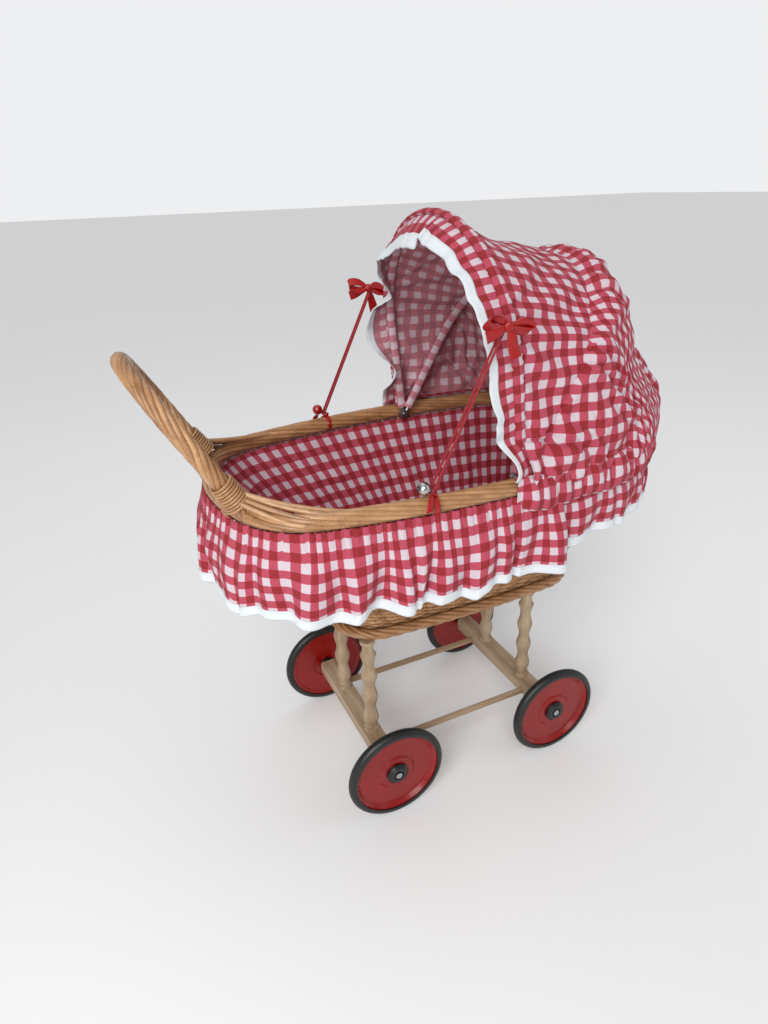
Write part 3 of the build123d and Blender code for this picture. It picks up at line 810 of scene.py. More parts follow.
# ------------------------------------------------------------------ camera, light and floor
@dataclass
class Studio:
    """A camera, soft lights and a plain pale floor."""

    place: tuple[float, float, float] = (-0.3369, -0.6335, 0.6757)
    azimuth: float = -24.567
    elevation: float = 25.943
    roll: float = -1.952
    lens: float = 23.68
    floor_half: float = 24000.0  # far past the view

    def camera(self) -> None:
        """Make the camera and use it."""
        a, e, r = (math.radians(x) for x in (self.azimuth, self.elevation, self.roll))
        back = Vector((math.sin(a) * math.cos(e), -math.cos(a) * math.cos(e), math.sin(e)))
        right = Vector((math.cos(a), math.sin(a), 0.0))
        up = back.cross(right)
        right, up = math.cos(r) * right + math.sin(r) * up, math.cos(r) * up - math.sin(r) * right
        data = bpy.data.cameras.new("camera")
        data.lens, data.sensor_width, data.sensor_fit = self.lens, 36.0, "AUTO"
        data.clip_start, data.clip_end = 0.01, 50.0
        camera = bpy.data.objects.new("camera", data)
        camera.matrix_world = Matrix.Translation(self.place) @ Matrix((right, up, back)).transposed().to_4x4()
        bpy.context.scene.collection.objects.link(camera)
        bpy.context.scene.camera = camera

    def light(self) -> None:
        """Make the soft lights and the pale surroundings."""
        for name, kind, place, size, power in (
            ("key", "SUN", (-0.62, -0.80, 0.80), 0.7, 1.5),
            ("flash", "AREA", (-0.72, -0.72, 0.62), 0.4, 2.8),
            ("fill", "AREA", (1.5, -0.9, 1.1), 1.4, 2.5),
            ("top", "AREA", (0.1, 0.5, 2.0), 1.6, 5.0),
        ):
            data = bpy.data.lights.new(name, kind)
            data.energy = power
            setattr(data, "angle" if kind == "SUN" else "size", size)
            lamp = bpy.data.objects.new(name, data)
            lamp.location = place
            aim = Vector((0.0, 0.0, 0.0 if kind == "SUN" else 0.3)) - Vector(place)
            lamp.rotation_euler = aim.to_track_quat("-Z", "Y").to_euler()
            bpy.context.scene.collection.objects.link(lamp)
        world = bpy.data.worlds.new("studio")
        world.use_nodes = True
        tree = world.node_tree
        # the backdrop is pale to the camera, and dimmer as a light so that the reds stay deep
        seen = add(tree, "ShaderNodeLightPath", out="Is Camera Ray")
        strength = add(tree, "ShaderNodeMix", seen, i2=0.42, i3=0.93, out=0)
        sky = tree.nodes["Background"]
        sky.inputs["Color"].default_value = linear("#f6f7f9")
        tree.links.new(strength, sky.inputs["Strength"])
        bpy.context.scene.world = world
        bpy.context.scene.view_settings.view_transform = "Standard"

    def floor(self) -> None:
        """Lay the plain pale floor."""
        look = Surface("pale_floor", Roughness=0.75)
        place = add(look.tree, "ShaderNodeTexCoord", out="Object")
        tone = add(look.tree, "ShaderNodeTexNoise", Vector=place, Scale=3.0)
        colour = add(look.tree, "ShaderNodeMix:RGBA", tone, i6=linear("#fbfbfb"), i7=linear("#f8f8f8"), out=2)
        corners = self.floor_half * np.array([(-1, -1, 0), (1, -1, 0), (1, 1, 0), (-1, 1, 0)])
        material = look.finish(colour, tone, 0.01, 0.05)
        mesh_object("floor", corners, [(0, 1, 2, 3)], [material])


# ------------------------------------------------------------------ elastic loops
@dataclass
class ElasticLoops:
    """A doubled elastic on each side, from the bow's knot round the hook on the rim and back."""

    thick: float = 2.4
    length: float = 0.3168
    lead: float = 5.2  # from the knot's middle to where a strand starts
    apart: float = 2.4  # a strand's distance from the middle line at the knot
    neck: float = 3.0  # the same at the hook's neck
    close: float = 13.5  # from the hook to where the strands have closed up a little

    def make(self, finish: bpy.types.Material) -> None:
        """Args:
            finish: The elastic's material.
        """
        for hand, side in SIDES.items():
            knot = Vector((KNOT[0], side * KNOT[1], KNOT[2]))
            hook = Vector((HOOK[0], side * HOOK[1], HOOK[2]))
            pull = (knot - hook).normalized()
            away = Vector((-pull.z, 0, pull.x)).normalized()
            across = pull.cross(away).normalized()
            start, back = knot - pull * self.lead, hook - pull * self.neck
            near = hook + pull * self.close
            route = [
                start + across * self.apart,
                near + across * self.neck * 0.95,
                back + across * self.neck,
                back - across * self.neck,
                near - across * self.neck * 0.95,
                start - across * self.apart,
            ]
            data = bpy.data.curves.new(f"{hand}_elastic", "CURVE")
            data.dimensions = "3D"
            line = data.splines.new("NURBS")
            line.points.add(len(route) - 1)
            for point, place in zip(line.points, route):
                point.co = (*(place * MM), 1.0)
            line.order_u = 3
            line.use_endpoint_u = True
            line.resolution_u = 16
            data.bevel_depth = self.thick / 2 * MM
            data.bevel_resolution = 3
            data.use_fill_caps = True
            data.materials.append(finish)
            loop = bpy.data.objects.new(f"{hand}_elastic", data)
            bpy.context.scene.collection.objects.link(loop)
            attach(loop, f"{hand}_loop")
            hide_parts(f"{hand}_elastic_loop")
            log.info("%s elastic loop", hand)


# ------------------------------------------------------------------ chassis
@dataclass
class Chassis:
    """Beams, posts, rails and wheels: finished CAD shapes that only get their materials."""

    beech: Beech = Beech()
    rubber: Hard = Hard("moulded_rubber_tyre", "#121312", "#1f211f", 0.42, texture_mm=2.0)
    enamel: Hard = Hard("red_moulded_disc", "#8a0603", "#740503", 0.24, texture_mm=5.0)
    cap: Hard = Hard("black_moulded_hub", "#101112", "#1b1c1e", 0.3, texture_mm=2.0)
    steel: Hard = Hard("zinc_plated_steel", "#b8babb", "#8d9092", 0.3, metallic=1.0, texture_mm=1.0)

    def dress(self) -> None:
        """Give every chassis shape its material."""
        wood = {way: self.beech.make(way) for way in Along}
        finishes = {"tyre": self.rubber.make(), "wheel_disc": self.enamel.make(), "hub": self.cap.make()}
        metal = self.steel.make()
        named = dict.fromkeys(("axle_screws", "axle_washers", "post_foot_screws", "post_head_screws",
                               "hoop_pivot_pins", "front_hoop", "rear_hoop"), metal)
        named["base_board"] = wood[Along.X]
        for end in ("front", "rear"):
            named[f"{end}_axle_beam"] = wood[Along.Y]
            for hand in SIDES:
                named[f"{end}_{hand}_post"] = wood[Along.Z]
                for part, finish in finishes.items():
                    named[f"{end}_{hand}_{part}"] = finish
        for hand in SIDES:
            named[f"{hand}_side_rail"] = wood[Along.X]
        for node, finish in named.items():
            dress_node(node, finish)
        log.info("chassis: %d shapes dressed", len(named))


def dress_node(node: str, finish: bpy.types.Material) -> None:
    """Put a material on a CAD shape.

    Args:
        node: The shape's name.
        finish: The material for all its slots.
    """
    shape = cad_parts[node]
    if not shape.material_slots:
        shape.data.materials.append(finish)
    for slot in shape.material_slots:
        slot.material = finish


# ------------------------------------------------------------------ basket
@dataclass
class Basket:
    """The willow tub: woven wall, twisted foot border, bundled rim."""

    stakes: int = 60
    row_pitch: float = 4.0
    weaver: float = 1.75
    stake: float = 1.6
    sway: float = 1.5
    skin: float = -2.4  # from the wall's outer face to the middle of its rods
    willow: Willow = field(default_factory=Willow)

    def wall_point(self, height: np.ndarray | float, share: np.ndarray,
                   out: np.ndarray | float) -> np.ndarray:
        """Return points of the tub's wall.

        Args:
            height: Heights in millimetres.
            share: Shares of the way round.
            out: How far outside the wall's outer face.

        Returns:
            The points.
        """
        foot, _ = WALL_FOOT.at(share, out)
        rim, _ = WALL_RIM.at(share, out)
        height = np.asarray(height, float)
        up = (height - TUB_FLOOR) / (WALL_TOP - TUB_FLOOR)
        flat = foot + (rim - foot) * up[..., None]
        return np.concatenate([flat, np.broadcast_to(height, flat.shape[:-1])[..., None]], -1)

    def wall(self) -> bpy.types.Object:
        """Weave the wall: rows that go in front of one stake and behind the next.

        Returns:
            The woven rows.
        """
        guides = []
        share = np.linspace(0, 1, 4 * self.stakes, endpoint=False)
        rows = int((WALL_TOP - TUB_FLOOR - 3) / self.row_pitch)
        for row in range(rows):
            height = TUB_FLOOR + 2.2 + row * self.row_pitch
            sway = self.sway * np.cos(math.pi * self.stakes * share + math.pi * row)
            uneven = height + 0.25 * np.sin(9 * TAU * share + row)
            guides.append((self.wall_point(uneven, share, self.skin + sway), True))
        # the woven rows are painted darker with shade 0.25: painted shade for rods deep in the wall
        return RODS.wind("basket_weave", guides, self.willow.make("varnished_willow_weave", 0.25),
                         Rod_Radius=self.weaver, Step=4.2, Sides=5, Flatness=1.1, Seed=4)

    def uprights(self) -> bpy.types.Object:
        """Make the stakes that the rows are woven round.

        Returns:
            The stakes.
        """
        heights = np.linspace(TUB_FLOOR + 1, WALL_TOP, 9)
        shares = np.linspace(0, 1, self.stakes, endpoint=False)
        lines = (self.wall_point(heights, np.full_like(heights, share), self.skin) for share in shares)
        guides = [(line, False) for line in lines]
        # the stakes are painted darker still with shade 0.35: painted shade for rods behind the rows
        return RODS.wind("basket_stakes", guides, self.willow.make("varnished_willow_stake", 0.35),
                         Rod_Radius=self.stake, Step=12.0, Sides=6, Seed=9)

    def ring(self, oval: Oval, height: float, count: int = 400) -> list[tuple[np.ndarray, bool]]:
        """Return a closed guide round an oval at a height."""
        flat, _ = oval.at(np.linspace(0, 1, count, endpoint=False))
        return [(np.column_stack([flat, np.full(count, height)]), True)]

    def borders(self) -> list[bpy.types.Object]:
        """Make the foot's rope border, and the rim's bundle with a slack twist.

        Returns:
            The foot's rope, the rim's bundle, the rim's heart and the foot's heart.
        """
        # the foot's rope takes a little of the willow's painted shade, 0.1, so it is darker than the rim's rods
        foot = RODS.wind("foot_rope", self.ring(FOOT, FOOT_ROPE_Z), self.willow.make(shade=0.1), Rods=5,
                         Pitch=FOOT.length() / 9, Start_Radius=3.7, Rod_Radius=2.75, Step=2.5, Seed=3)
        rim = RODS.wind("rim_bundle", self.ring(RIM, RIM_Z), self.willow.make(), Rods=9,
                        Pitch=RIM.length() / 5, Start_Radius=6.2, Rod_Radius=2.7, Step=3.0, Seed=5)
        # the hearts are painted dark with shade 0.8: painted shade in the gaps between the wound rods
        heart = RODS.wind("rim_heart", self.ring(RIM, RIM_Z), self.willow.make(shade=0.8),
                          Rod_Radius=5.0, Step=5.0, Sides=10, Seed=2)
        core = RODS.wind("foot_heart", self.ring(FOOT, FOOT_ROPE_Z), self.willow.make(shade=0.8),
                         Rod_Radius=2.6, Step=5.0, Sides=8, Seed=2)
        return [foot, rim, heart, core]

    def make(self) -> None:
        """Make the whole tub and put it on the pram."""
        pieces = {"basket_wall": [self.wall(), self.uprights()]}
        foot, rim, heart, core = self.borders()
        pieces["foot_border"], pieces["rim_border"] = [foot, core], [rim, heart]
        for node, made in pieces.items():
            for piece in made:
                put(piece, "pram", node)


@dataclass
class Handle:
    """The willow push handle: a twisted arch, cane wraps at its feet, and ties to the rim."""

    foot_x: float = MID_X - 236.6
    half: float = 74.0
    lean: float = 30.0
    long: float = 156.0
    willow: Willow = field(default_factory=Willow)

    def on_plane(self, across: np.ndarray, up: np.ndarray, ahead: np.ndarray | float = 0.0) -> np.ndarray:
        """Return points from the handle's own plane.

        Args:
            across: Distances to the left.
            up: Distances up the leaning plane.
            ahead: Distances towards the hood, square to the plane.

        Returns:
            The points.
        """
        sine, cosine = math.sin(math.radians(self.lean)), math.cos(math.radians(self.lean))
        up = np.asarray(up, float)
        x = self.foot_x - up * sine + ahead * cosine
        return np.stack([x, np.asarray(across, float) + 0 * x, RIM_Z + up * cosine + ahead * sine], -1)

    def arch(self) -> list[bpy.types.Object]:
        """Twist the arch's rods round a heart rod.

        Returns:
            The rods and their heart.
        """
        spring = self.long - self.half
        angle = np.linspace(0, math.pi, 60)
        across = np.concatenate([[self.half] * 8, self.half * np.cos(angle), [-self.half] * 8])
        up = np.concatenate([np.linspace(-4, spring - 8, 8), spring + self.half * np.sin(angle),
                             np.linspace(spring - 8, -4, 8)])
        guide = [(self.on_plane(across, up), False)]
        rods = RODS.wind("handle_rods", guide, self.willow.make(), Rods=8, Pitch=104.0, Start_Radius=5.9,
                         Rod_Radius=2.85, Step=2.2, Sides=10, Seed=11)
        # the heart is painted dark with shade 0.8: painted shade in the gaps between the twisted rods
        heart = RODS.wind("handle_heart", guide, self.willow.make(shade=0.8), Rod_Radius=5.0, Step=4.0,
                          Seed=1)
        return [rods, heart]

    def wrap(self, hand: str) -> bpy.types.Object:
        """Wrap cane round one foot, wider towards the rim.

        Args:
            hand: The foot's side.

        Returns:
            The wrap.
        """
        up = np.linspace(15.0, 43.0, 6)
        guide = [(self.on_plane(np.full(6, SIDES[hand] * self.half), up), False)]
        cane = self.willow.make("split_cane")
        return RODS.wind(f"{hand}_foot_wrap", guide, cane, Pitch=3.05,
                         Start_Radius=12.9, End_Radius=10.3, Rod_Radius=1.45, Step=0.085, Sides=6, Seed=6)

    def fan(self, hand: str) -> bpy.types.Object:
        """Lay the arch's rod ends out from under the wrap and along the rim.

        Args:
            hand: The foot's side.

        Returns:
            The rod ends.
        """
        guides = []
        side = SIDES[hand]
        foot = self.on_plane(np.array(side * self.half), np.array(30.0))
        place = RIM.share_at_x(self.foot_x)
        for number, (reach, height, out, way) in enumerate((
            (0.075, 4.5, -4.0, -1), (0.062, 5.6, 0.0, -1), (0.048, 4.5, 4.0, -1), (0.036, 1.5, 6.0, -1),
            (0.024, 5.5, -2.0, 1), (0.018, 4.5, 3.5, 1),
        )):
            share = place + way * reach
            flat, _ = RIM.at(np.array([share, place + way * reach * 0.45]), out)
            end = np.array([flat[0, 0], side * flat[0, 1], RIM_Z + height])
            bend = np.array([flat[1, 0], side * flat[1, 1], RIM_Z + height + 6])
            turn = TAU * number / 6
            start = foot + np.array([6.5 * math.cos(turn), 6.5 * math.sin(turn), 0])
            t = np.linspace(0, 1, 16)[:, None]
            guides.append(((1 - t) ** 2 * start + 2 * t * (1 - t) * bend + t**2 * end, False))
        return RODS.wind(f"{hand}_rod_ends", guides, self.willow.make(), Rod_Radius=2.5, Step=3.0, Seed=8)

    def tie(self, hand: str) -> bpy.types.Object:
        """Wind three turns of cane round the rim beside the handle.

        Args:
            hand: The tie's side.

        Returns:
            The tie.
        """
        shares = np.linspace(0.25, 0.5, 1200)
        flat, _ = RIM.at(shares)
        share = shares[np.argmin(np.abs(flat[:, 1] - 52.0))]
        turn = np.linspace(0, 3 * TAU, 120)
        run = (turn / TAU - 1.5) * 2.7 / RIM.length()
        place, normal = RIM.at(share + run)
        reach = 10.4 + 0.25 * np.sin(turn * 1.7)
        line = np.column_stack([place + normal * (reach * np.cos(turn))[:, None], RIM_Z + reach * np.sin(turn)])
        line[:, 1] *= SIDES[hand]
        return RODS.wind(f"{hand}_rim_tie", [(line, False)], self.willow.make("split_cane"),
                         Rod_Radius=1.25, Step=1.6, Sides=6, Seed=7)

    def make(self) -> None:
        """Make the handle and put it on the pram."""
        made = {"handle_arch": self.arch()}
        for hand in SIDES:
            made[f"{hand}_handle_wrap"] = [self.wrap(hand), self.fan(hand)]
            made[f"{hand}_handle_tie"] = [self.tie(hand)]
        for node, pieces in made.items():
            for piece in pieces:
                put(piece, "pram", node)


# ------------------------------------------------------------------ cloth round the basket
@dataclass
class Lining:
    """The gingham lining: a gathered wall with soft folds, and a floor panel."""

    inset: float = 6.6
    top: float = 396.0
    floor_z: float = 219.0
    flat_depth: float = 182.0
    columns: int = 420

    def wall(self, basket: Basket) -> tuple[np.ndarray, np.ndarray]:
        """Return the wall's grid, from the top edge down, and its flat cloth.

        Args:
            basket: The tub that the lining lies in.

        Returns:
            The points and their places on the flat cloth.
        """
        share = np.linspace(0, 1, self.columns, endpoint=False)
        run = share * RIM.length()
        depth = np.linspace(0, 1, 46)
        rows = []
        for d in depth:
            height = self.top - d * (self.top - self.floor_z)
            fine = ripple(run, 9.5, 21) * (1 - smooth(d, 0.0, 0.12)) * 0.7
            slack = np.clip(cloud(np.column_stack([run, np.full_like(run, height * 1.6)]), 62, 5), 0, 2) * 2.6
            drape = (0.5 + 0.5 * ripple(run, 68, 8, 1.6)) * 3.4 * smooth(d, 0.08, 0.7)
            out = -self.inset - 0.6 - np.abs(fine) - slack * smooth(d, 0.0, 0.15) - drape
            rows.append(basket.wall_point(height, share, out))
        along = np.linspace(0, RIM.length(), self.columns + 1)
        return np.array(rows), on_cloth(along, -depth[:, None] * self.flat_depth)

    def make(self, basket: Basket, cloth: bpy.types.Material) -> None:
        """Make the lining and put it in the tub.

        Args:
            basket: The tub.
            cloth: The gingham's right side.
        """
        points, flat = self.wall(basket)
        wall = thicken(grid_object("lining_wall", points, flat, [cloth], loop=True), CLOTH)
        foot = points[-1]
        middle = np.array([BASE_X, 0.0, 0.0])
        rows = []
        for scale in np.linspace(1.0, 0.02, 16):
            ring = middle + (foot - middle) * [scale, scale, 1.0]
            ring[:, 2] = self.floor_z - 1.0 + 1.6 * np.abs(cloud(ring, 70, 3)) * (scale < 0.98)
            rows.append(ring)
        rows = np.array(rows)
        flat = np.concatenate([rows, rows[:, :1]], 1)[..., :2]
        panel = thicken(grid_object("lining_floor", rows, flat, [cloth], loop=True), CLOTH)
        for piece in (wall, panel):
            put(piece, "pram", "lining")
        long = RIM.length() * MM


def bound(name: str, rows: np.ndarray, run: np.ndarray, white: bpy.types.Material) -> bpy.types.Object:
    """Fold a binding over an edge.

    Args:
        name: The piece's name.
        rows: The binding's grid, from inside the cloth round its edge to the outside.
        run: Distances along the binding.
        white: The binding's cloth.

    Returns:
        The binding.
    """
    flat = on_cloth(run, np.linspace(0, 24, len(rows))[:, None])
    return thicken(grid_object(name, rows, flat, [white]), 0.5)


@dataclass
class Skirt:
    """A gathered gingham skirt on the rim, with big soft waves at its hem."""

    name: str
    hem_z: float
    hem_out: float
    first: float  # shares of the way round, where it starts and ends
    last: float
    wave: float
    amplitude: float
    seed: int
    top_z: float = 398.5
    top_out: float = 8.2
    binding: float = 9.0
    step: float = 1.6

    def at(self, share: np.ndarray, fall: np.ndarray, lift: float = 0.0) -> np.ndarray:
        """Return points of the skirt.

        Args:
            share: Shares of the way round the rim.
            fall: How far down the skirt, 0 at its top and 1 at its hem.
            lift: How far out from the cloth's face.

        Returns:
            The points.
        """
        run = share * RIM.length()
        fine = ripple(run, 8.5, self.seed + 1, 0.9) * 1.3 * (1 - smooth(fall, 0.02, 0.42))
        middle = ripple(run, self.wave * 0.55, self.seed + 2) * self.amplitude * 0.42
        middle = middle * smooth(fall, 0.1, 0.55)
        big = ripple(run + 9 * np.sin(fall * 3 + run / 90), self.wave, self.seed) * self.amplitude
        belly = 5 * np.sin(math.pi * np.clip(fall, 0, 1)) ** 2
        out = self.top_out + (self.hem_out - self.top_out) * fall**0.85 + belly
        out = out + fine + middle + big * smooth(fall, 0.08, 1.0) * 0.9 + lift
        side = self.amplitude * 0.5 * smooth(fall, 0.25, 1.0) * np.cos(TAU * run / self.wave + 0.7)
        flat, _ = RIM.at(share + side / RIM.length(), out)
        sway = 3.2 * ripple(run, self.wave * 1.3, self.seed + 3) * fall
        height = self.top_z + (self.hem_z - self.top_z) * fall + sway + 1.2 * np.abs(fine) * (1 - fall)
        return np.concatenate([flat, height[..., None]], -1)

    def deep(self) -> float:
        """Return the flat cloth's depth, with a little slack."""
        return (self.top_z - self.hem_z) * 1.04

    def grid(self, falls: np.ndarray, lift: float = 0.0) -> tuple[np.ndarray, np.ndarray]:
        """Return a grid of the skirt from its hem up, and its flat cloth.

        Args:
            falls: The rows, from the lowest up.
            lift: How far out from the cloth's face.

        Returns:
            The points and their places on the flat cloth.
        """
        count = int((self.last - self.first) * RIM.length() / self.step)
        share = np.linspace(self.first, self.last, count)
        points = np.array([self.at(share, np.full(count, f), lift) for f in falls])
        hem = arc_length(self.at(share, np.ones(count)))
        return points, on_cloth(hem, (1 - falls)[:, None] * self.deep())

    def make(self, cloth: bpy.types.Material, wrong: bpy.types.Material, white: bpy.types.Material) -> None:
        """Make the skirt and its binding, and put them on the pram.

        Args:
            cloth: The gingham's right side.
            wrong: The gingham's wrong side, painted paler as light coming through the cloth.
            white: The binding's cloth.
        """
        points, flat = self.grid(np.linspace(0.985, 0, 34))
        skirt = thicken(grid_object(f"{self.name}_cloth", points, flat, [cloth, wrong]), CLOTH, True)
        start = 1 - self.binding / (self.top_z - self.hem_z)
        outer, _ = self.grid(np.linspace(start, 1.004, 6), 0.55)
        inner, _ = self.grid(np.linspace(1.004, start + 0.02, 6), -1.6)
        fold, _ = self.grid(np.array([1.022]), -0.5)
        rows = np.concatenate([outer, fold, inner])[::-1]
        band = bound(f"{self.name}_hem_binding", rows, flat[0, :, 0], white)
        share = np.linspace(self.first, self.last, len(flat[0]))
        seam = self.at(share, np.full(len(share), start + 0.025), 0.75)
        sewn = stitches(f"{self.name}_stitches", seam, white)
        put(skirt, "pram", self.name)
        for piece in (band, sewn):
            put(piece, "pram", f"{self.name}_binding")
        high = self.deep() * MM


# ------------------------------------------------------------------ hood
@dataclass(frozen=True)
class Arch:
    """A hood section in a plane through the pivot line: two legs and a round top."""

    foot: float
    half_foot: float
    half_spring: float
    spring: float
    top: float

    def at(self, share: np.ndarray) -> np.ndarray:
        """Return points across and up.

        Args:
            share: Shares of the way, from the left foot over the top to the right foot.

        Returns:
            Rows of the distance to the left and the distance up from the pivot line.
        """
        rise = self.top - self.spring
        radius = (self.half_spring**2 + rise**2) / (2 * rise)
        middle = self.top - radius
        half_turn = math.atan2(self.half_spring, self.spring - middle)
        leg = math.hypot(self.half_foot - self.half_spring, self.spring - self.foot)
        total = 2 * leg + 2 * radius * half_turn
        run = np.asarray(share, float) * total
        t = np.clip(run / leg, 0, 1)
        u = np.clip((run - total + leg) / leg, 0, 1)
        turn = half_turn - np.clip((run - leg) / radius, 0, 2 * half_turn)
        spread = self.half_spring - self.half_foot
        legs = [run < leg, run > total - leg]
        across = np.select(legs, [self.half_foot + spread * t, -self.half_spring + spread * u],
                           radius * np.sin(turn))
        up = np.select(legs, [self.foot + (self.spring - self.foot) * t,
                              self.spring + (self.foot - self.spring) * u], middle + radius * np.cos(turn))
        return np.stack([across, up], -1)

    def length(self) -> float:
        """Return the length from foot to foot."""
        return float(arc_length(self.at(np.linspace(0, 1, 400)))[-1])


def leaned(flat: np.ndarray, lean: float, ahead: np.ndarray | float = 0.0) -> np.ndarray:
    """Stand a hood section up in its plane.

    Args:
        flat: Rows of the distance to the left and the distance up from the pivot line.
        lean: The plane's lean towards the hood's end, in degrees.
        ahead: Distances in front of the plane.

    Returns:
        The points.
    """
    sine, cosine = math.sin(math.radians(lean)), math.cos(math.radians(lean))
    across, up = flat[..., 0], flat[..., 1]
    x = PIVOT[0] + up * sine - ahead * cosine
    return np.stack([x, across + 0 * x, PIVOT[2] + up * cosine + ahead * sine], -1)


def bent_normals(points: np.ndarray) -> np.ndarray:
    """Return unit normals of a grid of points, to columns cross rows."""
    normal = np.cross(np.gradient(points, axis=1), np.gradient(points, axis=0))
    return normal / np.maximum(np.linalg.norm(normal, axis=-1, keepdims=True), 1e-9)


@dataclass
class Hood:
    """The gingham hood: brim, cover between the hoops, gathered back, and the hem that grips the rim."""

    front: Arch = Arch(-2.0, 132.0, 132.5, 111.5, 244.0)
    rear: Arch = Arch(-2.0, 132.0, 132.0, 98.0, 229.0)
    edge: Arch = Arch(12.0, 132.0, 132.5, 111.5, 244.0)
    brim_deep: float = 31.0
    binding: float = 8.6

    def flare(self, points: np.ndarray) -> np.ndarray:
        """Lead the cloth's foot outwards over the rim.

        Args:
            points: Points of the hood's cloth.

        Returns:
            The points, with those near the rim moved out.
        """
        low = (1 - smooth(points[..., 2], 416.0, 450.0)) * (1 - smooth(points[..., 0], 80.0, 150.0))
        reach = np.maximum(152.5 - np.abs(points[..., 1]), 0) * low
        moved = points.copy()
        moved[..., 1] += np.sign(points[..., 1]) * reach
        return moved

    def cover(self) -> tuple[np.ndarray, np.ndarray]:
        """Lay the cloth between the hoops, from front to rear.

        Returns:
            The points and their places on the flat cloth.
        """
        share = np.linspace(0, 1, 300)
        back = np.linspace(-0.02, 1.05, 57)[:, None]
        fore, aft = leaned(self.front.at(share), FRONT_LEAN), leaned(self.rear.at(share), REAR_LEAN)
        points = self.flare(fore + (aft - fore) * back[..., None])
        normal = bent_normals(points)
        height = points[..., 2]
        run = share * self.front.length()
        # casing ridges over the hoops, slack between them, gathers at the rear seam, and folds from the bows
        lift = 1.6 * np.exp(-((back / 0.045) ** 2)) + 1.4 * np.exp(-(((back - 1) / 0.06) ** 2))
        lift = lift - 0.8 * np.exp(-(((back - 0.09) / 0.03) ** 2))
        crown = smooth(height, 560, 640)
        slack = np.sin(math.pi * np.clip(back, 0, 1))
        lift = lift - 4.0 * slack * crown + 3.5 * slack * (1 - smooth(height, 430, 540))
        lift = lift + 0.9 * ripple(run, 8.0, 31) * smooth(back, 0.75, 1.0)
        lift = lift + 0.8 * ripple(run, 9.0, 33) * (1 - smooth(back, 0.02, 0.2))
        dx, dz = points[..., 0] - KNOT[0], points[..., 2] - KNOT[2]
        far, turn = np.hypot(dx, dz), np.arctan2(dz, dx)
        folds = np.sin(turn * 15 + 0.8 * np.sin(far / 30) + np.sign(points[..., 1])) * smooth(far, 12, 50)
        lift = lift + 2.4 * folds * (1 - smooth(far, 110, 210)) * (turn < 0.6) * (1 - crown)
        lift = lift + 1.5 * cloud(points, 75, 12) + 0.5 * cloud(points, 26, 13)
        puff = np.exp(-(((height - 436) / 24) ** 2))
        lift = lift + puff * (4.0 + 2.6 * ripple(run, 19.0, 35))
        # flush at the rear seam, where the back is tucked under
        lift = lift * (1 - 0.85 * smooth(back, 0.84, 0.98))
        points = points + normal * lift[..., None]
        return points, self.cloth_place(points, share)

    def cloth_place(self, points: np.ndarray, share: np.ndarray) -> np.ndarray:
        """Return places on the flat cloth that keep the checks square on the hood's sides.

        Args:
            points: A grid of points, with columns from the left foot over the top to the right foot.
            share: Shares of the way for the columns.

        Returns:
            The places on the flat cloth.
        """
        half = self.front.length() / 2
        side = 1 - smooth(np.minimum(share, 1 - share), 0.2, 0.34)
        up = np.where(share < 0.5, 1.0, -1.0) * (points[..., 2] - PIVOT[2])
        up = up + np.where(share < 0.5, 0.0, 2 * half)
        over = share * 2 * half
        return on_cloth(up * side + over * (1 - side), points[..., 0])

    def back(self) -> tuple[np.ndarray, np.ndarray]:
        """Lay the gathered back, from the rear hoop down to the rim.

        Returns:
            The points and their places on the flat cloth.
        """
        share = np.linspace(0, 1, 420)
        rows = []
        leans = np.concatenate([np.linspace(28.4, 90.0, 76), np.linspace(90.8, 93.0, 3)])
        for lean in leans:
            top = np.interp(lean, (28.4, 30, 31, 33.5, 38, 45, 53, 60, 66, 72, 80, 88, 91, 93),
                            (225.5, 226.5, 231, 245, 252, 246, 235, 230, 234, 250, 262, 265, 263, 257))
            half = np.interp(lean, (28.4, 30.5, 34, 45, 60, 75, 90, 93),
                             (128.5, 129.5, 138, 142, 147, 151, 154, 151))
            foot = np.interp(lean, (28.4, 30.5, 60, 93), (128.5, 129.5, 149, 154))
            spring = np.interp(lean, (30, 58, 90), (98.0, 108, 128))
            low = float(np.interp(lean, (28.4, 55, 93), (2.0, 12, 22)))
            flat = Arch(low, foot, half, spring, top).at(share)
            plan = self.rim_outline(share, top)
            turn = float(smooth(lean, 36.0, 86.0))
            rows.append(leaned(flat * (1 - turn) + plan * turn, lean))
        points = self.flare(np.array(rows))
        normal = bent_normals(points)
        run = (share * self.rear.length())[None]
        lean = leans[:, None]
        seam = np.exp(-(((lean - 30) / 5) ** 2)) + np.exp(-(((lean - 57) / 7) ** 2)) * 0.8
        seam = seam + np.exp(-(((lean - 90) / 6) ** 2))
        gather = ripple(run + 4 * np.sin(lean / 6), 9.5, 41, 1.4)
        soft = ripple(run + 8 * np.sin(lean / 9), 27.0, 42, 1.5) * (1 - np.exp(-(((lean - 30) / 3) ** 2)))
        lift = 1.5 * gather * seam + 2.4 * soft + 2.4 * cloud(points, 58, 43) * smooth(lean, 31, 40)
        lift = lift + 0.9 * cloud(points, 24, 44)
        keep = smooth(lean, 30.0, 34.0) * 0.85 + 0.15
        points = points + normal * (lift * keep)[..., None]
        travel = arc_length(np.array(rows)[:, len(share) // 2])
        flat = self.cloth_place(points, share)
        centre = smooth(np.minimum(share, 1 - share), 0.2, 0.36)
        flat[..., 1] += (157.0 + travel[:, None] - flat[..., 1]) * centre
        return points, flat

    def rim_outline(self, share: np.ndarray, top: float) -> np.ndarray:
        """Return the rim's outline at the hood's end as a hood section.

        Args:
            share: Shares of the way, from the left foot round the end to the right foot.
            top: The section's distance from the pivot line to its far end.

        Returns:
            Rows of the distance to the left and the distance up from the pivot line.
        """
        first = RIM.share_at_x(PIVOT[0] + 20.0)
        flat, _ = RIM.at(first * (1 - 2 * share), 11.5)
        far = RIM_X + RIM.half_long + 11.5 - PIVOT[0]
        return np.stack([flat[:, 1], (flat[:, 0] - PIVOT[0]) * top / far], -1)

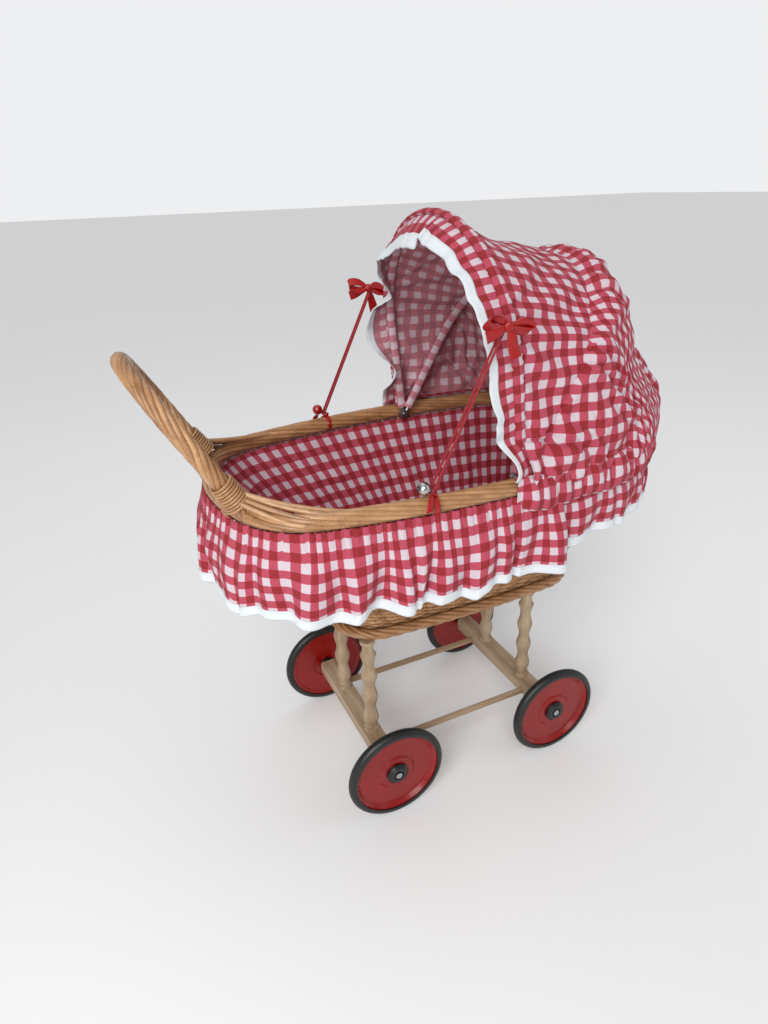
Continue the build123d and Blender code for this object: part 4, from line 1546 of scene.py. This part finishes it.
    def brim_at(self, share: np.ndarray, deep: np.ndarray | float, lift: float = 0.0) -> np.ndarray:
        """Return points of the ruffled brim.

        Args:
            share: Shares of the way, from the left foot over the top to the right foot.
            deep: How far towards the edge, 0 at the hoop and 1 at the edge.
            lift: How far out from the cloth's face.

        Returns:
            The points.
        """
        share, deep = np.broadcast_arrays(np.asarray(share, float), np.asarray(deep, float))
        flat = self.edge.at(share)
        run = share * self.front.length()
        up = flat[..., 1]
        across = flat[..., 0]
        crown = smooth(up, 185, 232)
        left = across > 0
        # two slack folds fall inwards on the left; the middle droops, with one lapped pleat
        slack = np.exp(-(((up - 166) / 24) ** 2)) + 0.9 * np.exp(-(((up - 62) / 20) ** 2))
        slack = slack * left * smooth(across, 20, 60)
        long = self.brim_deep * (0.62 + 0.38 * smooth(up, 22, 80)) * (1 + 0.07 * ripple(run, 70, 56))
        long = long * (1 - 0.62 * slack)
        droop = crown * (15.0 + 11.0 * smooth(across, -22, -16)) + 30.0 * slack
        wave = ripple(run, 66.0, 52, 1.3) * 3.4 * (1 - crown) + ripple(run, 21.0, 53) * 0.7
        flare = 5.0 * (across < 0) * (1 - smooth(up, 90, 190))
        wave = (wave + flare) * np.maximum(deep, 0) ** 1.2 - droop * np.maximum(deep, 0) ** 1.6
        wave = wave + 0.7 * ripple(run, 7.5, 54) * (1 - smooth(deep, 0.0, 0.5)) + lift
        middle = np.array([0.0, 111.5])
        way = flat - middle
        way[..., 1] = np.maximum(way[..., 1], 0)
        way = way / np.maximum(np.linalg.norm(way, axis=-1, keepdims=True), 1e-6)
        place = flat + way * (wave + 1.0)[..., None]
        points = leaned(place, FRONT_LEAN, deep * long - 0.5)
        return self.flare_brim(points)

    def flare_brim(self, points: np.ndarray) -> np.ndarray:
        """Lead the brim's feet out onto the rim's top.

        Args:
            points: Points of the brim.

        Returns:
            The points, with those near the rim moved out.
        """
        low = 1 - smooth(points[..., 2], 424.0, 452.0)
        moved = points.copy()
        moved[..., 1] += np.sign(points[..., 1]) * 15.0 * low
        return moved

    def brim(self, cloth: bpy.types.Material, wrong: bpy.types.Material, white: bpy.types.Material) -> None:
        """Make the brim and its binding, and put them on the front hoop.

        Args:
            cloth: The gingham's right side.
            wrong: The gingham's wrong side, painted paler as light coming through the cloth.
            white: The binding's cloth.
        """
        share = np.linspace(0, 1, 460)[None]
        run = share[0] * self.front.length() * 1.2
        deep = np.linspace(0.985, -0.1, 22)[:, None]
        points = self.brim_at(share, deep)
        flat = on_cloth(run, -deep * self.brim_deep)
        brim = thicken(grid_object("brim_cloth", points, flat, [cloth, wrong]), CLOTH, True)
        start = 1 - self.binding / self.brim_deep
        rows = [self.brim_at(share, d, 0.6)[0] for d in np.linspace(start, 1.0, 6)]
        rows.append(self.brim_at(share, 1.03, -0.4)[0])
        rows += [self.brim_at(share, d, -1.6)[0] for d in np.linspace(1.0, start, 6)]
        band = bound("brim_edge_binding", np.array(rows[::-1]), run, white)
        line = self.brim_at(share[0], np.full(share.shape[1], start + 0.04), 0.85)
        sewn = stitches("brim_stitches", line, white)
        put(brim, "hood_front", "hood_brim")
        for piece in (band, sewn):
            put(piece, "hood_front", "brim_binding")

    def casing(self, name: str, arch: Arch, lean: float, body: str, cloth: bpy.types.Material,
               thick: float = 3.9) -> None:
        """Sew a narrow cloth casing round one hoop.

        Args:
            name: The piece's name.
            arch: The hoop's middle line.
            lean: The hoop's lean.
            body: The body that the hoop belongs to.
            cloth: The casing's cloth.
            thick: Half the casing's thickness.
        """
        share = np.linspace(0.0, 1.0, 360)
        line = leaned(arch.at(share), lean)
        along = np.gradient(line, axis=0)
        along /= np.linalg.norm(along, axis=-1, keepdims=True)
        square = leaned(np.zeros(2), lean, 1.0) - leaned(np.zeros(2), lean)
        out = np.cross(along, square)
        turn = np.linspace(0, TAU, 15)[:-1]
        size = thick + 0.35 * ripple(share * arch.length(), 8.0, 17)
        rows = [line + (square * math.sin(t) * 5.8 / thick + out * math.cos(t)) * size[:, None] for t in turn]
        points = np.array(rows).transpose(1, 0, 2)[:, ::-1]
        long = arch.length()
        flat = on_cloth(np.linspace(0, 30, 15), (share * long)[:, None])
        piece = grid_object(name, points, flat, [cloth], loop=True)
        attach(piece, body)
        log.info("%s: %d faces", name, len(piece.data.polygons))

    def hem(self) -> tuple[np.ndarray, np.ndarray]:
        """Lay the puffed hem round the rim, from its lower edge up.

        Returns:
            The points and their places on the flat cloth.
        """
        first = RIM.share_at_x(PIVOT[0] - 17)
        share = np.linspace(-first, first, 640)
        run = share * RIM.length()
        taper = smooth(first - np.abs(share), 0.0, 0.015)
        outs = np.array([6.5, 11.0, 16.0, 18.0, 17.5, 15.5, 13.0, 11.0, 7.0, 2.5])
        heights = np.array([384.0, 379.5, 383.0, 391.0, 399.0, 407.0, 413.0, 417.0, 419.0, 418.0])
        t = np.linspace(0, 1, 28)
        outs = np.interp(t, np.linspace(0, 1, len(outs)), outs)
        heights = np.interp(t, np.linspace(0, 1, len(heights)), heights)
        belly = np.sin(math.pi * t)
        rows = []
        for o, h, b in zip(outs, heights, belly):
            puff = ripple(run + 3 * h / 20, 15.0, 61, 1.2) * 1.9 + ripple(run, 46.0, 62) * 2.0 * b
            out = np.maximum(o + puff * (0.35 + 0.65 * b), 10.2) * taper + 10.6 * (1 - taper)
            over = float(smooth(h, 415.0, 417.5))  # the upper edge turns in over the rim
            out = out * (1 - over) + o * over
            flat, _ = RIM.at(share, out)
            sway = ripple(run, 33.0, 63) * 2.4 * (1 - b * 0.3) * (h < 400)
            drop = (h - 400) * (0.75 + 0.25 * taper) * (1 - over) + (h - 400) * over + 400 + sway
            rows.append(np.column_stack([flat, drop]))
        return np.array(rows), on_cloth(run * 1.3, t[:, None] * 57.0)

    def make(self, cloth: bpy.types.Material, wrong: bpy.types.Material, white: bpy.types.Material) -> None:
        """Make the whole hood; put the brim, its binding, the casings and the hem on what they move with, and
        leave the cover and the back unattached.

        Args:
            cloth: The gingham's right side.
            wrong: The gingham's wrong side, painted paler as light coming through the cloth.
            white: The binding's cloth.
        """
        self.brim(cloth, wrong, white)
        self.casing("front_casing", Arch(9.0, 127.5, 127.5, 111.5, 239.0), FRONT_LEAN, "hood_front", wrong)
        seam = Arch(10.0, 134.2, 134.6, 111.5, 246.2)
        self.casing("front_seam", seam, FRONT_LEAN, "hood_front", cloth, 3.0)
        self.casing("rear_casing", Arch(9.0, 121.8, 121.8, 98.0, 223.0), REAR_LEAN, "hood_rear", wrong)
        grids = {"cover": self.cover(), "back": self.back(), "hem": self.hem()}
        cover, back, hem = (
            thicken(grid_object(f"{name}_cloth", points, flat, [cloth, wrong]), CLOTH, True)
            for name, (points, flat) in grids.items()
        )
        long = self.front.length()
        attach(hem, "pram")
        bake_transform(cover)
        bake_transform(back)
        for piece, node in ((cover, "hood_cover"), (back, "hood_back"), (hem, "hood_hem")):
            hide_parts(node)
            log.info("%s: %d faces", piece.name, len(piece.data.polygons))


# ------------------------------------------------------------------ bows, ribbon ties, bell and bead
@dataclass
class Trim:
    """Satin bows on the hood, and the bell and the bead tied to the rim."""

    ribbon: float = 11.0

    def strip(self, name: str, path: np.ndarray, wide: np.ndarray,
              finish: bpy.types.Material) -> bpy.types.Object:
        """Make a ribbon along a path.

        Args:
            name: The piece's name.
            path: The ribbon's middle line.
            wide: The half-width vectors, one for each point.
            finish: The ribbon's material.

        Returns:
            The ribbon.
        """
        t = np.linspace(0, 1, 40)
        old = np.linspace(0, 1, len(path))
        for _ in range(2):
            path = np.column_stack([np.interp(t, old, path[:, k]) for k in range(3)])
            wide = np.column_stack([np.interp(t, old, wide[:, k]) for k in range(3)])
            old = t
            for _ in range(6):
                path[1:-1] = (path[:-2] + 2 * path[1:-1] + path[2:]) / 4
                wide[1:-1] = (wide[:-2] + 2 * wide[1:-1] + wide[2:]) / 4
        along = np.gradient(path, axis=0)
        normal = np.cross(along, wide)
        normal /= np.maximum(np.linalg.norm(normal, axis=-1, keepdims=True), 1e-9)
        rows = np.array([path + wide * w + normal * 0.5 * (1 - w * w) for w in np.linspace(-1, 1, 7)])
        flat = on_cloth(arc_length(path), np.linspace(0, self.ribbon, 7)[:, None])
        return thicken(grid_object(name, rows, flat, [finish]), 0.35)

    def knot(self, name: str, middle: np.ndarray, size: tuple[float, float, float],
             finish: bpy.types.Material) -> bpy.types.Object:
        """Make a knot: a pinched, creased wad of ribbon.

        Args:
            name: The piece's name.
            middle: Its middle.
            size: Its half sizes.
            finish: Its material.

        Returns:
            The knot.
        """
        around, levels = 24, 13
        turn = np.linspace(0, TAU, around, endpoint=False)
        rows = []
        for rise in np.linspace(-1.5, 1.5, levels):
            reach = np.cos(rise) * (1 + 0.09 * np.sin(4 * turn + 2 * rise))
            height = np.full(around, math.sin(rise))
            rows.append(np.column_stack([reach * np.cos(turn), reach * np.sin(turn), height]) * size + middle)
        flat = on_cloth(np.linspace(0, 20, around + 1), np.linspace(0, 8, levels)[:, None])
        return grid_object(name, np.array(rows), flat, [finish], loop=True, capped=True)

    def bow_pieces(self, hand: str, finish: bpy.types.Material) -> list[bpy.types.Object]:
        """Tie one bow: two loops, two tails and a knot.

        Args:
            hand: The bow's side.
            finish: The ribbon's material.

        Returns:
            The bow's pieces.
        """
        side = SIDES[hand]
        at = np.array([KNOT[0], side * (KNOT[1] + 5.0), KNOT[2]])
        out = np.array([0.0, side, 0.0])
        pieces = []
        half = self.ribbon / 2
        for number, (reach, rise) in enumerate(((-24.0, 6.0), (22.0, -4.0))):
            path = np.array([[0, 0, 0.5], [reach * 0.45, 3.5, rise * 0.5 + 5], [reach, 4.5, rise + 3],
                             [reach * 1.06, 3.0, rise - 3], [reach * 0.5, 1.2, rise * 0.3 - 4],
                             [0, 0.4, -0.5]])
            path = at + path * [1, side, 1]
            grow = [[0, 0.2, 1.4], [0.5, 1.8, 3.2], [0.8, 3.4, 2.6]]
            wide = np.array(grow + grow[::-1]) * [1, side, 1] * half / 4.2
            pieces.append(self.strip(f"{hand}_bow_loop_{number + 1}", path, wide, finish))
        for number, (dx, dz, twist) in enumerate(((-24.0, -7.0, 0.3), (8.0, -28.0, 1.2))):
            path = at + np.array([[0, 0, 0], [dx * 0.35, 2.6, dz * 0.3], [dx * 0.7, 1.8, dz * 0.72],
                                  [dx, 3.2, dz]]) * [1, side, 1]
            turn = math.atan2(dz, dx) + math.pi / 2
            across = np.array([math.cos(turn), 0, math.sin(turn)])
            wide = np.array([across * 1.6, across * half * 0.8 + out * twist, across * half, across * half])
            pieces.append(self.strip(f"{hand}_bow_tail_{number + 1}", path, wide, finish))
        pieces.append(self.knot(f"{hand}_bow_knot", at + out * 1.0, (4.6, 3.6, 5.0), finish))
        return pieces

    def rim_tie(self, hand: str, finish: bpy.types.Material) -> list[bpy.types.Object]:
        """Tie the ribbon round the rim under a bell or a bead, with its tail.

        Args:
            hand: The tie's side.
            finish: The ribbon's material.

        Returns:
            The tie's pieces.
        """
        name, side = CHARMS[hand], SIDES[hand]
        turn = np.linspace(0, TAU * 1.04, 40)
        middle = np.array([HOOK[0] + 1.0, side * 138.4, RIM_Z])
        path = middle + np.column_stack([2.0 * np.sin(turn / 2), side * 10.6 * np.cos(turn + 0.4),
                                         10.6 * np.sin(turn + 0.4)])
        wide = np.tile([3.0, 0.0, 0.0], (len(turn), 1))
        band = self.strip(f"{name}_rim_ribbon", path, wide, finish)
        top = np.array([HOOK[0] + 2.0, side * 138.6, RIM_Z + 11.5])
        tail = np.array([[0, 0, 0], [-5.0, 5.5, 1.5], [-9.0, 11.0, -3.5], [-11.5, 13.5, -11.0]])
        tail = top + tail * [1, side, 1]
        spread = np.array([[1.2, 0.0, 0.0], [3.0, 1.0, 0.0], [3.4, 0.5, 0.0], [3.8, 0.0, 0.5]])
        end = self.strip(f"{name}_ribbon_tail", tail, spread, finish)
        knot = self.knot(f"{name}_ribbon_knot", top, (4.2, 3.4, 2.8), finish)
        return [band, end, knot]

    def make(self) -> None:
        """Make the bows and the ties and put them on what they move with."""
        finish = Satin().make()
        for hand, charm in CHARMS.items():
            for piece in self.bow_pieces(hand, finish):
                put(piece, "hood_front", f"{hand}_ribbon_bow")
            for piece in self.rim_tie(hand, finish):
                put(piece, "pram", f"{charm}_ribbon_tie")
        nickel = Hard("nickel_plated_bell", "#d0d1d0", "#8a8c8b", 0.14, metallic=1.0, texture_mm=4.0)
        lacquer = Hard("red_lacquered_bead", "#a80f14", "#7d0a0e", 0.16, coat=0.8, texture_mm=6.0)
        dress_node("bell", nickel.make())
        dress_node("bead", lacquer.make())
        log.info("trim: bell and bead dressed")


# ------------------------------------------------------------------ everything
def main() -> None:
    """Build the pram's visual model in order."""
    logging.basicConfig(level=logging.INFO, format="%(name)s: %(message)s")
    studio = Studio()
    studio.camera()
    ElasticLoops().make(BraidedElastic().make())
    studio.light()
    studio.floor()
    Chassis().dress()
    basket = Basket()
    basket.make()
    Handle().make()
    cloth = Gingham().make("woven_gingham")
    # the wrong side is painted paler: painted light coming through the cloth
    wrong = Gingham().make("woven_gingham_wrong_side", painted_light=0.3)
    white = Cotton().make()
    Lining().make(basket, cloth)
    split = RIM.share_at_x(MID_X + 58.0)
    rear = Skirt("rear_skirt", 309.0, 19.0, split - 0.004, 1 - split + 0.004, 56.0, 7.6, 70)
    front = Skirt("front_skirt", 329.0, 10.0, -split - 0.01, split + 0.01, 60.0, 4.0, 90, top_out=4.0)
    for sewn in (rear, front, Hood()):
        sewn.make(cloth, wrong, white)
    Trim().make()


if __name__ == "__main__":
    main()
